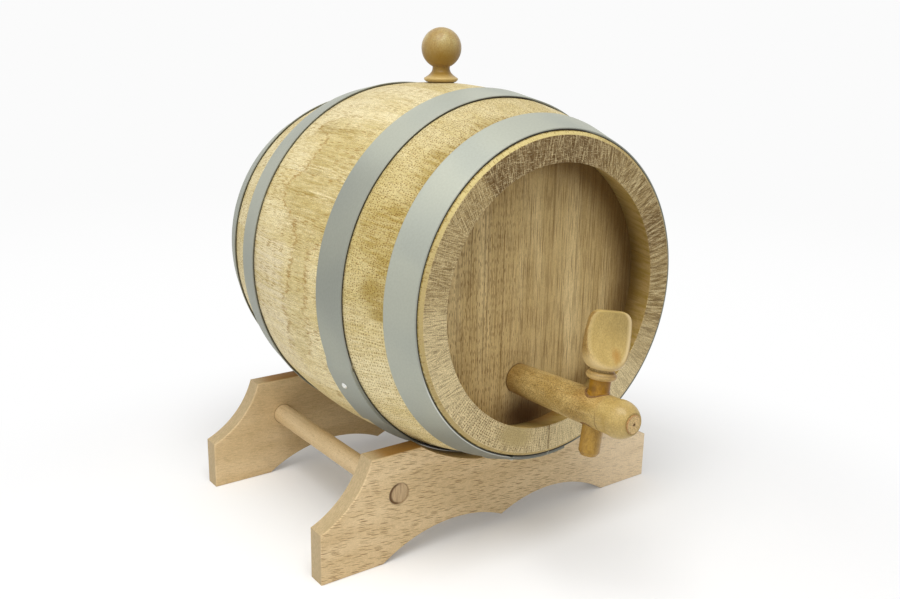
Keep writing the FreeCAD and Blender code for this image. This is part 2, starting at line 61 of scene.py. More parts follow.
def srgb(red, green, blue):
    # a colour as it looks on screen, 0 to 255, turned into the linear values that Blender wants
    channels = np.array([red, green, blue]) / 255
    linear = np.where(channels <= 0.04045, channels / 12.92, ((channels + 0.055) / 1.055) ** 2.4)
    return (*[float(value) for value in linear], 1)


def gridFaces(rows, columns, wrap=True):
    # quads between neighbouring rows and columns of a grid of points; wrap closes each row to a ring
    r, c = np.meshgrid(np.arange(rows - 1), np.arange(columns if wrap else columns - 1), indexing="ij")
    beside = (c + 1) % columns
    quads = [r * columns + c, (r + 1) * columns + c, (r + 1) * columns + beside, r * columns + beside]
    return np.stack([quad.ravel() for quad in quads], axis=1)


def tubeFaces(rows, columns):
    # the quads of a tube, and one flat face over each end
    ends = [list(range(columns)), list(range((rows - 1) * columns, rows * columns))]
    return gridFaces(rows, columns).tolist() + ends


def shadeByAngle(mesh, sharpAngle, cleaned=False):
    # smooth shading, except across edges that turn by more than the angle
    work = bmesh.new()
    work.from_mesh(mesh)
    if cleaned:
        bmesh.ops.remove_doubles(work, verts=work.verts, dist=1e-7)
        bmesh.ops.dissolve_degenerate(work, edges=work.edges, dist=1e-8)
        bmesh.ops.recalc_face_normals(work, faces=work.faces)
    for face in work.faces:
        face.smooth = True
    for edge in work.edges:
        edge.smooth = len(edge.link_faces) == 2 and edge.calc_face_angle(0) < math.radians(sharpAngle)
    work.to_mesh(mesh)
    work.free()


def buildPiece(name, points, faces, materials, faceMaterials=None, sharpAngle=32):
    # a closed mesh from an array of points in millimetres; doubles merged, normals outwards
    mesh = bpy.data.meshes.new(name)
    mesh.from_pydata((np.asarray(points).reshape(-1, 3) * mm).tolist(), [], faces)
    for material in materials:
        mesh.materials.append(material)
    if faceMaterials is not None:
        mesh.polygons.foreach_set("material_index", np.asarray(faceMaterials, np.int32))
    shadeByAngle(mesh, sharpAngle, cleaned=True)
    return addObject(name, mesh)


def addObject(name, data):
    thing = bpy.data.objects.new(name, data)
    bpy.context.scene.collection.objects.link(thing)
    return thing


def vertexPlaces(piece):
    # all vertices of a piece as an array in millimetres
    places = np.zeros(len(piece.data.vertices) * 3)
    piece.data.vertices.foreach_get("co", places)
    return places.reshape(-1, 3) / mm


def storeVector(piece, name, values):
    attribute = piece.data.attributes.new(name, "FLOAT_VECTOR", "POINT")
    attribute.data.foreach_set("vector", np.ascontiguousarray(values, np.float32).ravel())


def columnsOf(*values):
    return np.stack(values, axis=-1)


def arcPoints(centre, radius, startAngle, endAngle, count):
    # points on a circle between two angles in degrees, as (first, second) coordinates
    angles = np.radians(np.linspace(startAngle, endAngle, count))
    return columnsOf(centre[0] + radius * np.cos(angles), centre[1] + radius * np.sin(angles))


def chain(*parts):
    return np.concatenate([np.atleast_2d(np.asarray(part, float)) for part in parts])


def unit(vectors):
    return vectors / np.linalg.norm(vectors, axis=-1, keepdims=True)


def leftOf(vectors):
    # each direction in the plane turned a quarter to its left
    return columnsOf(-vectors[:, 1], vectors[:, 0])


def turnedPoints(profile, steps):
    # a profile of (radius, height) carried round the Z axis
    angles = np.linspace(0, 2 * np.pi, steps, endpoint=False)
    radius, height = profile[:, :1], profile[:, 1:]
    return columnsOf(radius * np.cos(angles), radius * np.sin(angles), height + 0 * angles)


def placed(points, matrix):
    flat = np.asarray(points).reshape(-1, 3)
    turned = flat @ np.array(matrix.to_3x3()).T + np.array(matrix.translation)
    return turned.reshape(np.shape(points))


def smoothStep(values, low, high):
    # 3 s squared minus 2 s cubed, s being the share of the way from low to high
    share = np.clip((values - low) / (high - low), 0, 1)
    return share * share * (3 - 2 * share)


# helpers for materials: nodes go into the tree that is open

canvas = {"tree": None, "material": None, "shader": None}


class Signal:
    # one result of a node; sums with numbers and other signals add Math nodes
    def __init__(self, socket):
        self.socket = socket

    def __add__(self, other):
        return calc("ADD", self, other)

    def __sub__(self, other):
        return calc("SUBTRACT", self, other)

    def __rsub__(self, other):
        return calc("SUBTRACT", other, self)

    def __mul__(self, other):
        return calc("MULTIPLY", self, other)

    def __truediv__(self, other):
        return calc("DIVIDE", self, other)

    def __abs__(self):
        return calc("ABSOLUTE", self)

    __rmul__ = __mul__


def wire(socket, value):
    if isinstance(value, Signal):
        canvas["tree"].links.new(value.socket, socket)
    else:
        socket.default_value = value


def addNode(kind, inputs=None, **settings):
    node = canvas["tree"].nodes.new("ShaderNode" + kind)
    for key, value in settings.items():
        setattr(node, key, value)
    for key, value in (inputs or {}).items():
        wire(node.inputs[key], value)
    return node


def put(kind, inputs=None, result=0, **settings):
    # a new node, and one of its results
    return Signal(addNode(kind, inputs, **settings).outputs[result])


def calc(operation, first, second=0):
    return put("Math", {0: first, 1: second}, operation=operation)


def larger(first, second):
    return calc("MAXIMUM", first, second)


def ease(value, low, high, start=0, end=1):
    # goes smoothly from start to end as the value goes from low to high
    return put("MapRange", {"Value": value, "From Min": low, "From Max": high, "To Min": start,
                            "To Max": end}, interpolation_type="SMOOTHSTEP")


def between(value, low, high, soft):
    # 1 between two limits, with soft edges
    return ease(value, low - soft, low) * ease(value, high, high + soft, 1, 0)


def curveOf(value, points):
    # a smooth curve through (input, output) points; outputs run from 0 to 1
    low, high = points[0][0], points[-1][0]
    share = put("MapRange", {"Value": value, "From Min": low, "From Max": high})
    node = addNode("FloatCurve", {"Value": share})
    curve = node.mapping.curves[0]
    spread = [((x - low) / (high - low), y) for x, y in points]
    curve.points[0].location = spread[0]
    curve.points[1].location = spread[-1]
    for place in spread[1:-1]:
        curve.points.new(*place)
    node.mapping.update()
    return Signal(node.outputs["Value"])


def mix(share, first, second, kind="MIX"):
    return put("Mix", {0: share, 6: first, 7: second}, 2, data_type="RGBA", blend_type=kind)


def layered(palette, colour, *coats):
    # coats of (share, colour) laid over a colour one after another; a colour may be a palette's name
    result = palette[colour] if isinstance(colour, str) else colour
    for share, coat in coats:
        result = mix(share, result, palette[coat] if isinstance(coat, str) else coat)
    return result


def shade(colour, value):
    # a colour made darker or lighter by a number
    return mix(1, colour, value, "MULTIPLY")


def speckle(colour, grit, amount):
    # fine uneven grain, so that no wood is quite even
    return shade(colour, ease(grit, 0.3, 0.7, 1 - amount, 1 + amount))


def noise(place, size, detail=2, roughness=0.5, scale=1):
    # clouds of a size in millimetres each way; with no size the place is scaled already
    if size:
        place = put("Mapping", {"Vector": place, "Scale": tuple(1 / width for width in size)})
    return put("TexNoise", {"Vector": place, "Scale": scale, "Detail": detail, "Roughness": roughness})


def split(vector):
    return [Signal(output) for output in addNode("SeparateXYZ", {"Vector": vector}).outputs]


def join(x, y, z=0):
    return put("CombineXYZ", {"X": x, "Y": y, "Z": z})


def length(x, y):
    return calc("SQRT", x * x + y * y)


def spot(across, along, centre, size):
    # distance from a centre, measured in sizes each way
    return length((across - centre[0]) / size[0], (along - centre[1]) / size[1])


def read(name):
    return put("Attribute", result="Vector", attribute_type="GEOMETRY", attribute_name=name)


def objectPlace(turn=(0, 0, 0), centre=(0, 0, 0)):
    # Object coordinates in millimetres from a centre, turned so that the grain runs along X
    place = put("TexCoord", result="Object")
    moved = put("Mapping", {"Vector": place, "Location": tuple(-c for c in centre), "Scale": (1 / mm,) * 3})
    return put("Mapping", {"Vector": moved, "Rotation": tuple(math.radians(t) for t in turn)})


def openTree(owner):
    owner.use_nodes = True
    owner.node_tree.nodes.clear()
    canvas["tree"] = owner.node_tree


def startMaterial(name, values):
    canvas["material"] = bpy.data.materials.new(name)
    openTree(canvas["material"])
    canvas["shader"] = addNode("BsdfPrincipled", values)
    addNode("OutputMaterial", {"Surface": Signal(canvas["shader"].outputs["BSDF"])})


def endMaterial(colour, height, strength, depth, roughness=None):
    # joins the colour and the bumps to the shader; depth in millimetres
    wire(canvas["shader"].inputs["Base Color"], colour)
    bumps = put("Bump", {"Height": height, "Strength": strength, "Distance": depth * mm})
    wire(canvas["shader"].inputs["Normal"], bumps)
    if roughness is not None:
        wire(canvas["shader"].inputs["Roughness"], roughness)
    return canvas["material"]


def startGroup(name, values, results):
    # a node group that takes a place and some values; returns it with its inputs as signals
    group = bpy.data.node_groups.new(name, "ShaderNodeTree")
    canvas["tree"] = group
    group.interface.new_socket(name="Place", in_out="INPUT", socket_type="NodeSocketVector")
    for label, default in values.items():
        socket = group.interface.new_socket(name=label, in_out="INPUT", socket_type="NodeSocketFloat")
        socket.default_value = default
    for label in results:
        group.interface.new_socket(name=label, in_out="OUTPUT", socket_type="NodeSocketFloat")
    entry = group.nodes.new("NodeGroupInput")
    return group, [Signal(entry.outputs[label]) for label in ("Place", *values)]


def endGroup(*signals):
    leave = canvas["tree"].nodes.new("NodeGroupOutput")
    for socket, signal in zip(leave.inputs, signals):
        wire(socket, signal)


def useGroup(group, *values):
    # a shared effect: its inputs in order, and its results in order
    node = canvas["tree"].nodes.new("ShaderNodeGroup")
    node.node_tree = group
    for socket, value in zip(node.inputs, values):
        wire(socket, value)
    return [Signal(output) for output in node.outputs]


# wood effects shared by the materials: pores and grain streaks

def makePores(name, dimensions):
    # short dark dashes along X: stretched cells, each with one dash, and some cells left empty
    group, (place, long, wide, share, size, scatter) = startGroup(
        name, {"Length": 2, "Width": 0.6, "Share": 0.6, "Size": 0.3, "Scatter": 0.85}, ["Mask"])
    scaled = put("VectorMath", {0: place, 1: join(long, wide, wide)}, operation="DIVIDE")
    cells = addNode("TexVoronoi", {"Vector": scaled, "Scale": 1, "Randomness": scatter},
                    voronoi_dimensions=dimensions)
    luck, strength, _ = split(Signal(cells.outputs["Color"]))
    dash = ease(Signal(cells.outputs["Distance"]), size * 0.6, size, 1, 0)
    endGroup(dash * calc("LESS_THAN", luck, share) * (strength * 0.6 + 0.4))
    return group


def makeStreaks():
    # long soft streaks along X, coarse and fine together, about 0.5 in the middle
    group, (place, long, wide) = startGroup("grainStreaks", {"Length": 60, "Width": 2},
                                            ["Tone", "Fine", "Grit"])
    scaled = put("VectorMath", {0: place, 1: join(long, wide, wide * 3)}, operation="DIVIDE")
    endGroup(noise(scaled, None, 4, 0.6), noise(scaled, None, 3, 0.7, 3.7),
             noise(place, (1.1, 0.5, 0.5), 2, 0.7))
    return group


pores = makePores("woodPores", "2D")
solidPores = makePores("solidPores", "3D")
streaks = makeStreaks()


def dashes(place, values, group=pores):
    # values: length, width, share of the cells that hold a dash, its size in the cell, scatter
    return useGroup(group, place, *values)[0]


# the cask: places round it, worked out from the frame

staveLow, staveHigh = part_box("stave_05")
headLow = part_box("front_head_middle")[0]
caskCentre = Vector((0, (staveLow.y + staveHigh.y) / 2, (staveLow.z + staveHigh.z) / 2)) / mm

cask = {
    "staves": 16,
    "length": (staveHigh.y - staveLow.y) / mm,
    "bilgeRadius": staveHigh.x / mm,
    "endRadius": 94.2,
    "thickness": 17.5,
    "rimEase": 1.5,
    "mouthRadius": 77.6,
    "headFace": caskCentre.y - headLow.y / mm,
    "crozeSetback": 2,
    "crozeWidth": 6,
    "crozeDepth": 4,
    "jointWidth": 0.42,
    "jointDepth": 0.2,
    "unevenness": 0.16,
    "waveLengths": (23, 9.5),
    "jointSteps": (0, 0.12, 0.24, 0.42, 0.9),
    "roundSteps": 15,
    "lengthSteps": 73,
    "insideSteps": 25,
    "grainShift": (400, 300),
    "ringShift": (90, 70),
    "ringLean": 22,
    "sharpEdge": 28,
}


def bentRadius(along, inset=0):
    # the bent outside of the staves: an arc through both ends and the middle, or one nearer its centre
    drop = cask["bilgeRadius"] - cask["endRadius"]
    bend = ((cask["length"] / 2) ** 2 + drop ** 2) / (2 * drop)
    return cask["bilgeRadius"] - bend + np.sqrt((bend - inset) ** 2 - along ** 2)


def onCask(angles, along, radius):
    # points at an angle in degrees, a distance along the axis and a radius
    turn = np.radians(angles)
    across, up = radius * np.sin(turn), radius * np.cos(turn)
    return columnsOf(across, along + caskCentre.y + 0 * turn, up + caskCentre.z)


def caskPlaces(piece):
    # angle in degrees, distance along the axis and radius of each vertex
    offset = vertexPlaces(piece) - np.array(caskCentre)
    angle = np.degrees(np.arctan2(offset[:, 0], offset[:, 2]))
    return columnsOf(angle, offset[:, 1], np.hypot(offset[:, 0], offset[:, 2]))


# cask finishes: colours, dashes (length, width, share, size, scatter), and curves of a strength
# against the angle round the cask

oak = {
    "pale": srgb(233, 219, 174),
    "straw": srgb(214, 196, 140),
    "poreBrown": srgb(118, 80, 6),
    "lineBrown": srgb(158, 126, 52),
    "lineLight": srgb(238, 226, 188),
    "hatchBrown": srgb(142, 102, 14),
    "stain": srgb(188, 169, 106),
    "deepStain": srgb(162, 138, 68),
    "tideMark": srgb(154, 113, 38),
    "bleached": srgb(226, 213, 181),
    "rim": srgb(210, 192, 130),
    "chime": srgb(186, 160, 104),
    "chimeDark": srgb(104, 78, 34),
    "chimeFootShade": srgb(132, 88, 34),
    "endPale": srgb(222, 203, 156),
    "endTan": srgb(166, 142, 94),
    "endBrown": srgb(113, 86, 47),
    "endDark": srgb(78, 56, 26),
    "endRows": srgb(118, 92, 50),
    "endSmooth": srgb(172, 153, 104),
    "headPale": srgb(224, 199, 144),
    "headTan": srgb(198, 171, 115),
    "headBrown": srgb(106, 74, 30),
    "crozeShade": srgb(92, 62, 10),
    "tapShadow": srgb(72, 38, 6),
    "bandDots": (1.7, 1, 0.75, 0.34, 0.8),
    "bandRows": (1.9, 2.1, 0.92, 0.29, 0.4),
    "hatch": (10, 0.8, 0.75, 0.32),
    "endSpecks": (1.2, 0.8, 0.7, 0.36),
    "endRowDots": (1.5, 1.7, 0.95, 0.36, 0.35),
    "rimDots": (2.4, 1.4, 0.5, 0.3),
    "headDashes": (6.5, 1.1, 0.9, 0.25, 0.8),
    "headHatch": (24, 0.95, 0.75, 0.32),
    "lowTide": [(-125, 0.45), (-112, 0.446), (-107, 0.415), (-102.5, 0.354), (-95, 0.385), (-91, 0.31),
                (-84, 0.29), (-76, 0.27), (-70, 0.37), (-62, 0.57), (-56, 0.46), (-50, 0.43), (-43, 0.46),
                (-39.4, 0.647), (-35, 0.5), (-15, 0.4)],
    "highTide": [(-125, 0.4), (-112.5, 0.3), (-109, 0.17), (-98, 0.16), (-88, 0.13), (-79, 0.13), (-74, 0),
                 (-15, 0)],
    "bandTone": [(-180, 0.1), (-135, 0.1), (-98, 0.2), (-88, 0.62), (-60, 0.85), (-40, 0.54), (-24, 0.42),
                 (0, 0.22), (60, 0.2), (180, 0.1)],
    "bandReach": [(-110, 0), (-95, 0.05), (-90, 0.45), (-82, 0.35), (-74, 0.75), (-64, 1), (-58, 0.6),
                  (-48, 0.35), (-40, 0.45), (-30, 0.3), (-19, 0.4), (-8, 0.1), (20, 0)],
    "topShade": [(-180, 1), (-70, 0.99), (-45, 0.92), (-20, 0.83), (20, 0.83), (60, 1), (180, 1)],
    "endTone": [(-180, 0.02), (-172, 0.14), (-155, 0.2), (-146, 0.17), (-138, 0.14), (-131, 0.07),
                (-115, 0.07), (-105, 0.16), (-92, 0.2), (-80, 0.38), (-45, 0.42), (-38, 0.58), (-33, 0.95),
                (8, 1), (20, 0.74), (52, 0.58), (65, 0.76), (76, 0.66), (82, 0.46), (100, 0.5),
                (110, 0.34), (122, 0.28), (131, 0.1), (137, 0), (165, 0), (180, 0.02)],
    "endStripes": [(-180, 0.6), (-168, 0.3), (-150, 0.35), (-125, 0.2), (-90, 0.1), (10, 0.15), (50, 1),
                   (105, 1), (122, 0.55), (180, 0.4)],
    "endRays": [(-180, 0.8), (-40, 1), (20, 1), (70, 0.6), (105, 0.4), (125, 0.25), (180, 0.5)],
    "endRowShare": [(-180, 1), (-170, 0.6), (-153, 1), (-130, 0.8), (-118, 0.25), (-90, 0.1), (-60, 0.2),
                    (20, 0.2), (140, 0.3), (172, 0.3), (180, 0.7)],
    "rimTone": [(-180, 0.8), (-120, 0.8), (-85, 0.7), (-60, 0.4), (-40, 0.05), (12, 0.1), (35, 0.85),
                (180, 0.8)],
    "chimeStainAndShade": [(-180, 0.1), (-60, 0.25), (0, 0.4), (30, 0.3), (60, 0.55), (95, 0.8), (130, 0.7),
                  (155, 0.25), (180, 0.1)],
    "headPaintedShade": [(-3.1416, 0.35), (-2.2, 0.15), (-1.2, 0.12), (-0.5, 0.6), (0, 0.8), (0.7, 1), (1.6, 0.95),
                 (2.2, 0.8), (3.1416, 0.35)],
    "plain": {"Roughness": 0.62, "Specular IOR Level": 0.25},
}


def makeStaveOak():
    startMaterial("staveOak", oak["plain"])
    angle, along, _ = split(read("caskPlace"))
    grain = read("grainPlace")
    chance = split(read("staveTone"))[0]
    tone, fine, grit = useGroup(streaks, grain, 80, 1.7)

    # clean wood: pale, with straw tones that change from stave to stave and along the grain
    broad = noise(grain, (60, 14, 14), 3)
    wood = layered(
        oak, "pale",
        (ease(broad * 1.6 + chance * 0.35, 0.6, 1.35), "straw"),
        (ease(tone, 0.48, 0.78, 0, 0.55), "stain"),
        (ease(fine, 0.48, 0.75, 0, 0.6), "lineBrown"),
        (ease(fine, 0.48, 0.3, 0, 0.55), "lineLight"))

    # water marks on the middle band: a stain between two ragged edges, darker at the edges
    ragged = noise(grain, (18, 2.2, 5), 4, 0.66)
    wander = (ragged - 0.5) * 24
    moved = along + wander
    low = curveOf(angle, oak["lowTide"]) * 100 - 40
    high = curveOf(angle, oak["highTide"]) * 100 - 42
    sideFade = between(angle, -111.5, -36, 3)
    stained = ease(low - moved, -1.6, 1.4) * ease(moved - high, -1.6, 1.4) * sideFade
    edges = larger(ease(abs(low - moved), 0.2, 2.3, 1, 0), ease(abs(moved - high), 0.2, 2.1, 0.9, 0))
    tide = edges * sideFade * ease(noise(grain, (6, 3, 5), 3), 0.34, 0.52, 0.15, 1)
    patchy = ease(noise(grain, (30, 2.2, 6), 4), 0.38, 0.6, 0.35, 1)
    deepSpan = between(angle, -71, -50, 9) * between(moved, -60, -4, 18)
    deepGrain = ease(noise(grain, (22, 1.3, 4), 4, 0.65), 0.4, 0.6)
    drip = larger(between(angle, -62.8, -61.6, 0.8) * between(along, -16, 12, 6),
                  between(angle, -42, -39.5, 1.2) * between(along, -18, 22, 6))
    bleached = (between(angle, -124, -80, 6) * between(moved, 2, 44, 9)
                * ease(tone, 0.38, 0.58, 1, 0.15))

    # brown stain on the band beside the front hoop, with one dark blot
    frontBand = ease(along, -64, -62, 1, 0)
    bandEdge = curveOf(angle, oak["bandReach"]) * 30 - 98
    band = ease(bandEdge - (wander * 0.9 + along), -7, 7)
    blotSpan = spot(angle, along, (-83.5, -84), (4.6, 9))
    wood = layered(
        oak, wood,
        (stained * patchy * 0.5, "stain"),
        (deepSpan * deepGrain * 0.5, "deepStain"),
        (drip * deepGrain * 0.8, "deepStain"),
        (tide * 0.65, "tideMark"),
        (bleached * 0.6, "bleached"),
        (frontBand * curveOf(angle, oak["bandTone"]) * 0.8, "stain"),
        (band * patchy * frontBand * 0.85, "deepStain"),
        (ease(ragged * 0.7 + blotSpan, 0.6, 1.6, 0.85, 0), "deepStain"))

    # pores: dotted rows on the front band, fine hatching along the grain elsewhere
    dots = dashes(grain, oak["bandDots"])
    below = ease(angle, -96, -88, 1, 0)
    frontDots = dashes(grain, oak["bandRows"]) * below * 0.75 + dots * (1 - below) * 0.9
    backDots = dots * (1 - frontBand) * ease(noise(grain, (30, 12, 12)), 0.4, 0.6, 0.1, 0.5)
    allDots = frontDots * frontBand + backDots
    hatchHere = ease(noise(grain, (50, 7, 9)), 0.4, 0.6, 0.4, 1) * ease(along, -62, -58, 0.5, 1)
    wood = layered(oak, wood, (dashes(grain, oak["hatch"]) * hatchHere * 0.9, "hatchBrown"),
                   (allDots, "poreBrown"))
    wood = shade(speckle(wood, grit, 0.2), curveOf(angle, oak["topShade"]))
    return endMaterial(wood, allDots * -1.2 + fine * 0.4, 0.5, 0.25)


def makeEndGrain():
    # tones round the rim: brown at the top, tan at the right, pale below
    startMaterial("endGrainOak", {**oak["plain"], "Roughness": 0.78})
    angle, _, radius = split(read("caskPlace"))
    place = read("endPlace")
    polar = join(radius, angle * 1.5)
    brown = curveOf(angle, oak["endTone"])
    striped = curveOf(angle, oak["endStripes"])
    rayed = curveOf(angle, oak["endRays"])
    rays = noise(place, (6, 0.38, 4), 3, 0.6)
    cross = noise(place, (0.38, 4, 4), 3, 0.6)
    stripes = noise(polar, (16, 1.6, 1), 3, 0.6)
    grit = noise(place, (0.45, 0.45, 0.45), 2, 0.7)
    speck = dashes(place, oak["endSpecks"])
    smooth = spot(angle, radius, (-161, 83), (9, 7)) + (cross * 1.2 - 0.6)
    wood = layered(
        oak, "endPale",
        (ease(brown, 0.05, 0.5), "endTan"),
        (ease(brown, 0.5, 0.9), "endBrown"),
        (between(angle, 1, 11, 5) * 0.24, "endDark"),
        (ease(stripes, 0.48, 0.62) * striped * 0.6, "endPale"),
        (ease(stripes, 0.5, 0.38) * striped * 0.45, "endDark"),
        (ease(rays, 0.5, 0.63) * rayed * 0.65, "endPale"),
        (ease(rays, 0.5, 0.38) * rayed * 0.6, "endDark"),
        (ease(cross, 0.52, 0.66) * between(angle, -88, 20, 6) * 0.55, "endPale"),
        (speck * ease(brown, 0.1, 0.9, 0.35, 0.75), "endDark"),
        (dashes(polar, oak["endRowDots"]) * curveOf(angle, oak["endRowShare"]), "endRows"),
        (ease(smooth, 0.5, 1.4, 0.85, 0), "endSmooth"))
    wood = shade(wood, ease(grit, 0.34, 0.66, 0.74, 1.26))
    return endMaterial(wood, rays - speck * 0.8, 0.6, 0.25)


def makeRimOak():
    # long grain seen on the eased rim of each end
    startMaterial("rimOak", oak["plain"])
    grain = read("grainPlace")
    angle = split(read("caskPlace"))[0]
    tone, fine, grit = useGroup(streaks, grain, 30, 1.4)
    wood = layered(oak, "rim", (curveOf(angle, oak["rimTone"]), "endTan"),
                   (ease(tone, 0.4, 0.7, 0, 0.4), "stain"),
                   (dashes(grain, oak["rimDots"]) * 0.55, "poreBrown"))
    return endMaterial(speckle(wood, grit, 0.1), fine, 0.4, 0.2)


def makeChimeOak():
    # inner wall of the chime and of the cask: golden, darker round the right-hand side, partly stain and
    # partly painted shade, with painted shade deepest in the corner by the head and at the foot under the tap
    startMaterial("chimeOak", {**oak["plain"], "Roughness": 0.6})
    angle, along, _ = split(read("caskPlace"))
    tone, fine, grit = useGroup(streaks, read("grainPlace"), 40, 2.2)
    corner = ease(abs(along), 113, 96)
    wood = layered(oak, "chime", (ease(tone, 0.35, 0.68), "deepStain"),
                   (curveOf(angle, oak["chimeStainAndShade"]) * (corner * 0.75 + 0.3), "chimeDark"),
                   (between(angle, 158, 186, 5) * corner * 0.7, "chimeFootShade"))
    return endMaterial(speckle(wood, grit, 0.1), fine, 0.35, 0.2)


def makeHeadOak():
    startMaterial("headOak", {**oak["plain"], "Roughness": 0.66})
    across, depth, up = split(objectPlace(centre=caskCentre))
    grain = join(up, across, depth)
    span = length(across, up)
    tone, fine, grit = useGroup(streaks, grain, 110, 1.4)
    marks = dashes(grain, oak["headDashes"])
    # painted shade along the groove, most of all above and at the right, and a painted shadow below the tap
    around = curveOf(calc("ARCTAN2", across, up), oak["headPaintedShade"])
    shadeStart = around * -16 + 76.5
    groove = (ease(span, shadeStart, 79) * around * 0.55
              + ease(span, shadeStart - 18, 80) * around * 0.32)
    under = spot(across, up, (-2, -77), (21, 13)) + (tone * 0.8 - 0.4)
    wood = layered(
        oak, "headPale",
        (ease(noise(grain, (150, 20, 22), 3), 0.36, 0.62), "headTan"),
        (ease(tone, 0.48, 0.7, 0, 0.55), "endBrown"),
        (ease(tone, 0.42, 0.25, 0, 0.5), "headPale"),
        (ease(fine, 0.48, 0.72, 0, 0.5), "headBrown"),
        (dashes(grain, oak["headHatch"]) * 0.62, "headBrown"),
        (marks * ease(across, -35, 15, 0.85, 0.15), "headBrown"),
        (groove, "crozeShade"),
        (ease(under, 0.2, 1.5, 0.88, 0), "tapShadow"))
    return endMaterial(speckle(wood, grit, 0.1), fine - marks, 0.45, 0.25)


steel = {
    "zinc": srgb(194, 197, 181),
    "dullZinc": srgb(186, 190, 177),
    "edge": srgb(120, 120, 108),
    "gap": srgb(34, 25, 14),
    "glint": srgb(238, 240, 234),
    "rivet": srgb(236, 237, 232),
    "dullRivet": srgb(204, 206, 200),
    "headPaintedShade": [(-180, 0.34), (-145, 0.40), (-128, 0.66), (-118, 0.76), (-68, 0.68), (-58, 0.72),
                 (0, 0.66), (90, 0.7), (180, 0.4)],
    "bellyPaintedShade": [(-180, 0.35), (-132, 0.42), (-114, 0.66), (-98, 0.62), (-84, 0.53), (-56, 0.53),
                  (-42, 0.68), (0, 0.7), (180, 0.5)],
    "rearPaintedShade": 0.68,
}


def makeHoopSteel():
    # stripPlace: share of the width from the edge that looks towards the tap, height above the wood
    startMaterial("hoopSteel", {"Roughness": 0.55, "Metallic": 0.25})
    angle, along, _ = split(read("caskPlace"))
    share, height, _ = split(read("stripPlace"))
    strap = join(angle, along)
    cloud = noise(strap, (26, 60, 1), 1)
    fine = noise(strap, (0.8, 1.1, 1), 3, 0.6)
    # painted shade and reflection: soft broad tones round each front hoop, as dull zinc shows its
    # surroundings, and one even tone on the rear hoops
    tone = put("Mix", {0: ease(along, -92, -88), 2: curveOf(angle, steel["headPaintedShade"]),
                       3: curveOf(angle, steel["bellyPaintedShade"])})
    tone = put("Mix", {0: ease(along, -5, 5), 2: tone, 3: steel["rearPaintedShade"]})
    zinc = shade(layered(steel, "zinc", (ease(cloud, 0.4, 0.6), "dullZinc")), tone)
    # darker grey on the tap-side edge, with a painted shadow line where the edge meets the wood, weaker on
    # the rear hoops and on the right-hand side, and a painted glint along the top of the edge low on the left
    # of the front head hoop
    onEdge = ease(share, 0.030, 0.018)
    lookedAt = between(angle, 14, 164, 6)
    edgeShadowStrength = ease(along, -20, 20, 0.96, 0.6) - lookedAt * 0.6
    lowerHead = ease(angle, -104, -118) * ease(along, -92, -96) * ease(angle, -170, -160)
    glint = lowerHead * between(height, 0.95, 1.2, 0.1) * ease(share, 0.03, 0.022) * 0.5
    zinc = layered(steel, shade(zinc, ease(fine, 0.35, 0.65, 0.97, 1.03)), (onEdge * 0.35, "edge"),
                   (onEdge * ease(height, 0.95, 0.5) * edgeShadowStrength, "gap"), (glint, "glint"))
    return endMaterial(zinc, fine, 0.15, 0.05, ease(cloud, 0.3, 0.7, 0.5, 0.62))


def makeRivetSteel():
    startMaterial("rivetSteel", {"Roughness": 0.28, "Metallic": 0.9})
    fine = noise(objectPlace(), (0.8, 0.8, 0.8), 3)
    return endMaterial(layered(steel, "rivet", (ease(fine, 0.4, 0.7), "dullRivet")), fine, 0.3, 0.05)


staveFinishes = [makeStaveOak(), makeRimOak(), makeEndGrain(), makeChimeOak()]
headOak = makeHeadOak()
hoopSteel = makeHoopSteel()
rivetSteel = makeRivetSteel()
print("stage: cask finishes made")


# staves; their finishes are 0 outside, 1 eased rim, 2 end face, 3 inner wall

def staveProfile():
    # closed section of a stave as (along, radius): the bent outside, one end from the rim over the
    # end face and the mouth into the groove for the head, the inside, and the other end mirrored;
    # small steps beside the corners soften them
    half, rim, lip = cask["length"] / 2, cask["endRadius"] - cask["rimEase"], cask["mouthRadius"]
    mouth = cask["headFace"] - cask["crozeSetback"]
    back = mouth - cask["crozeWidth"]
    wall = bentRadius(mouth, cask["thickness"])
    floor = wall + cask["crozeDepth"]
    outer = np.linspace(cask["rimEase"] - half, half - cask["rimEase"], cask["lengthSteps"])
    inner = np.linspace(back, -back, cask["insideSteps"])
    endFace = np.linspace((half, rim - 0.1), (half, lip + 0.25), 9)
    mouthWall = np.linspace((half - 1.2, lip + 0.08), (mouth, wall), 7)
    end = chain((half - 0.15, rim + 0.15), endFace, (half - 0.2, lip + 0.03), mouthWall,
                (mouth, floor), (back, floor))
    return chain(columnsOf(outer, bentRadius(outer)), end,
                 columnsOf(inner, bentRadius(inner, cask["thickness"])), end[::-1] * (-1, 1))


def stretchFinish(profile):
    # finish of the face between each point of the section and the next one
    middle = (profile + np.roll(profile, -1, axis=0)) / 2
    reach, depth = np.abs(middle[:, 0]), cask["endRadius"] - middle[:, 1]
    half, eased = cask["length"] / 2, cask["rimEase"]
    finish = np.full(len(profile), 3)
    finish[depth < 2.2] = 1
    finish[(reach < half - eased) & (depth < 3)] = 0
    finish[(reach > half - 0.14) & (depth > eased - 0.05)] = 2
    return finish


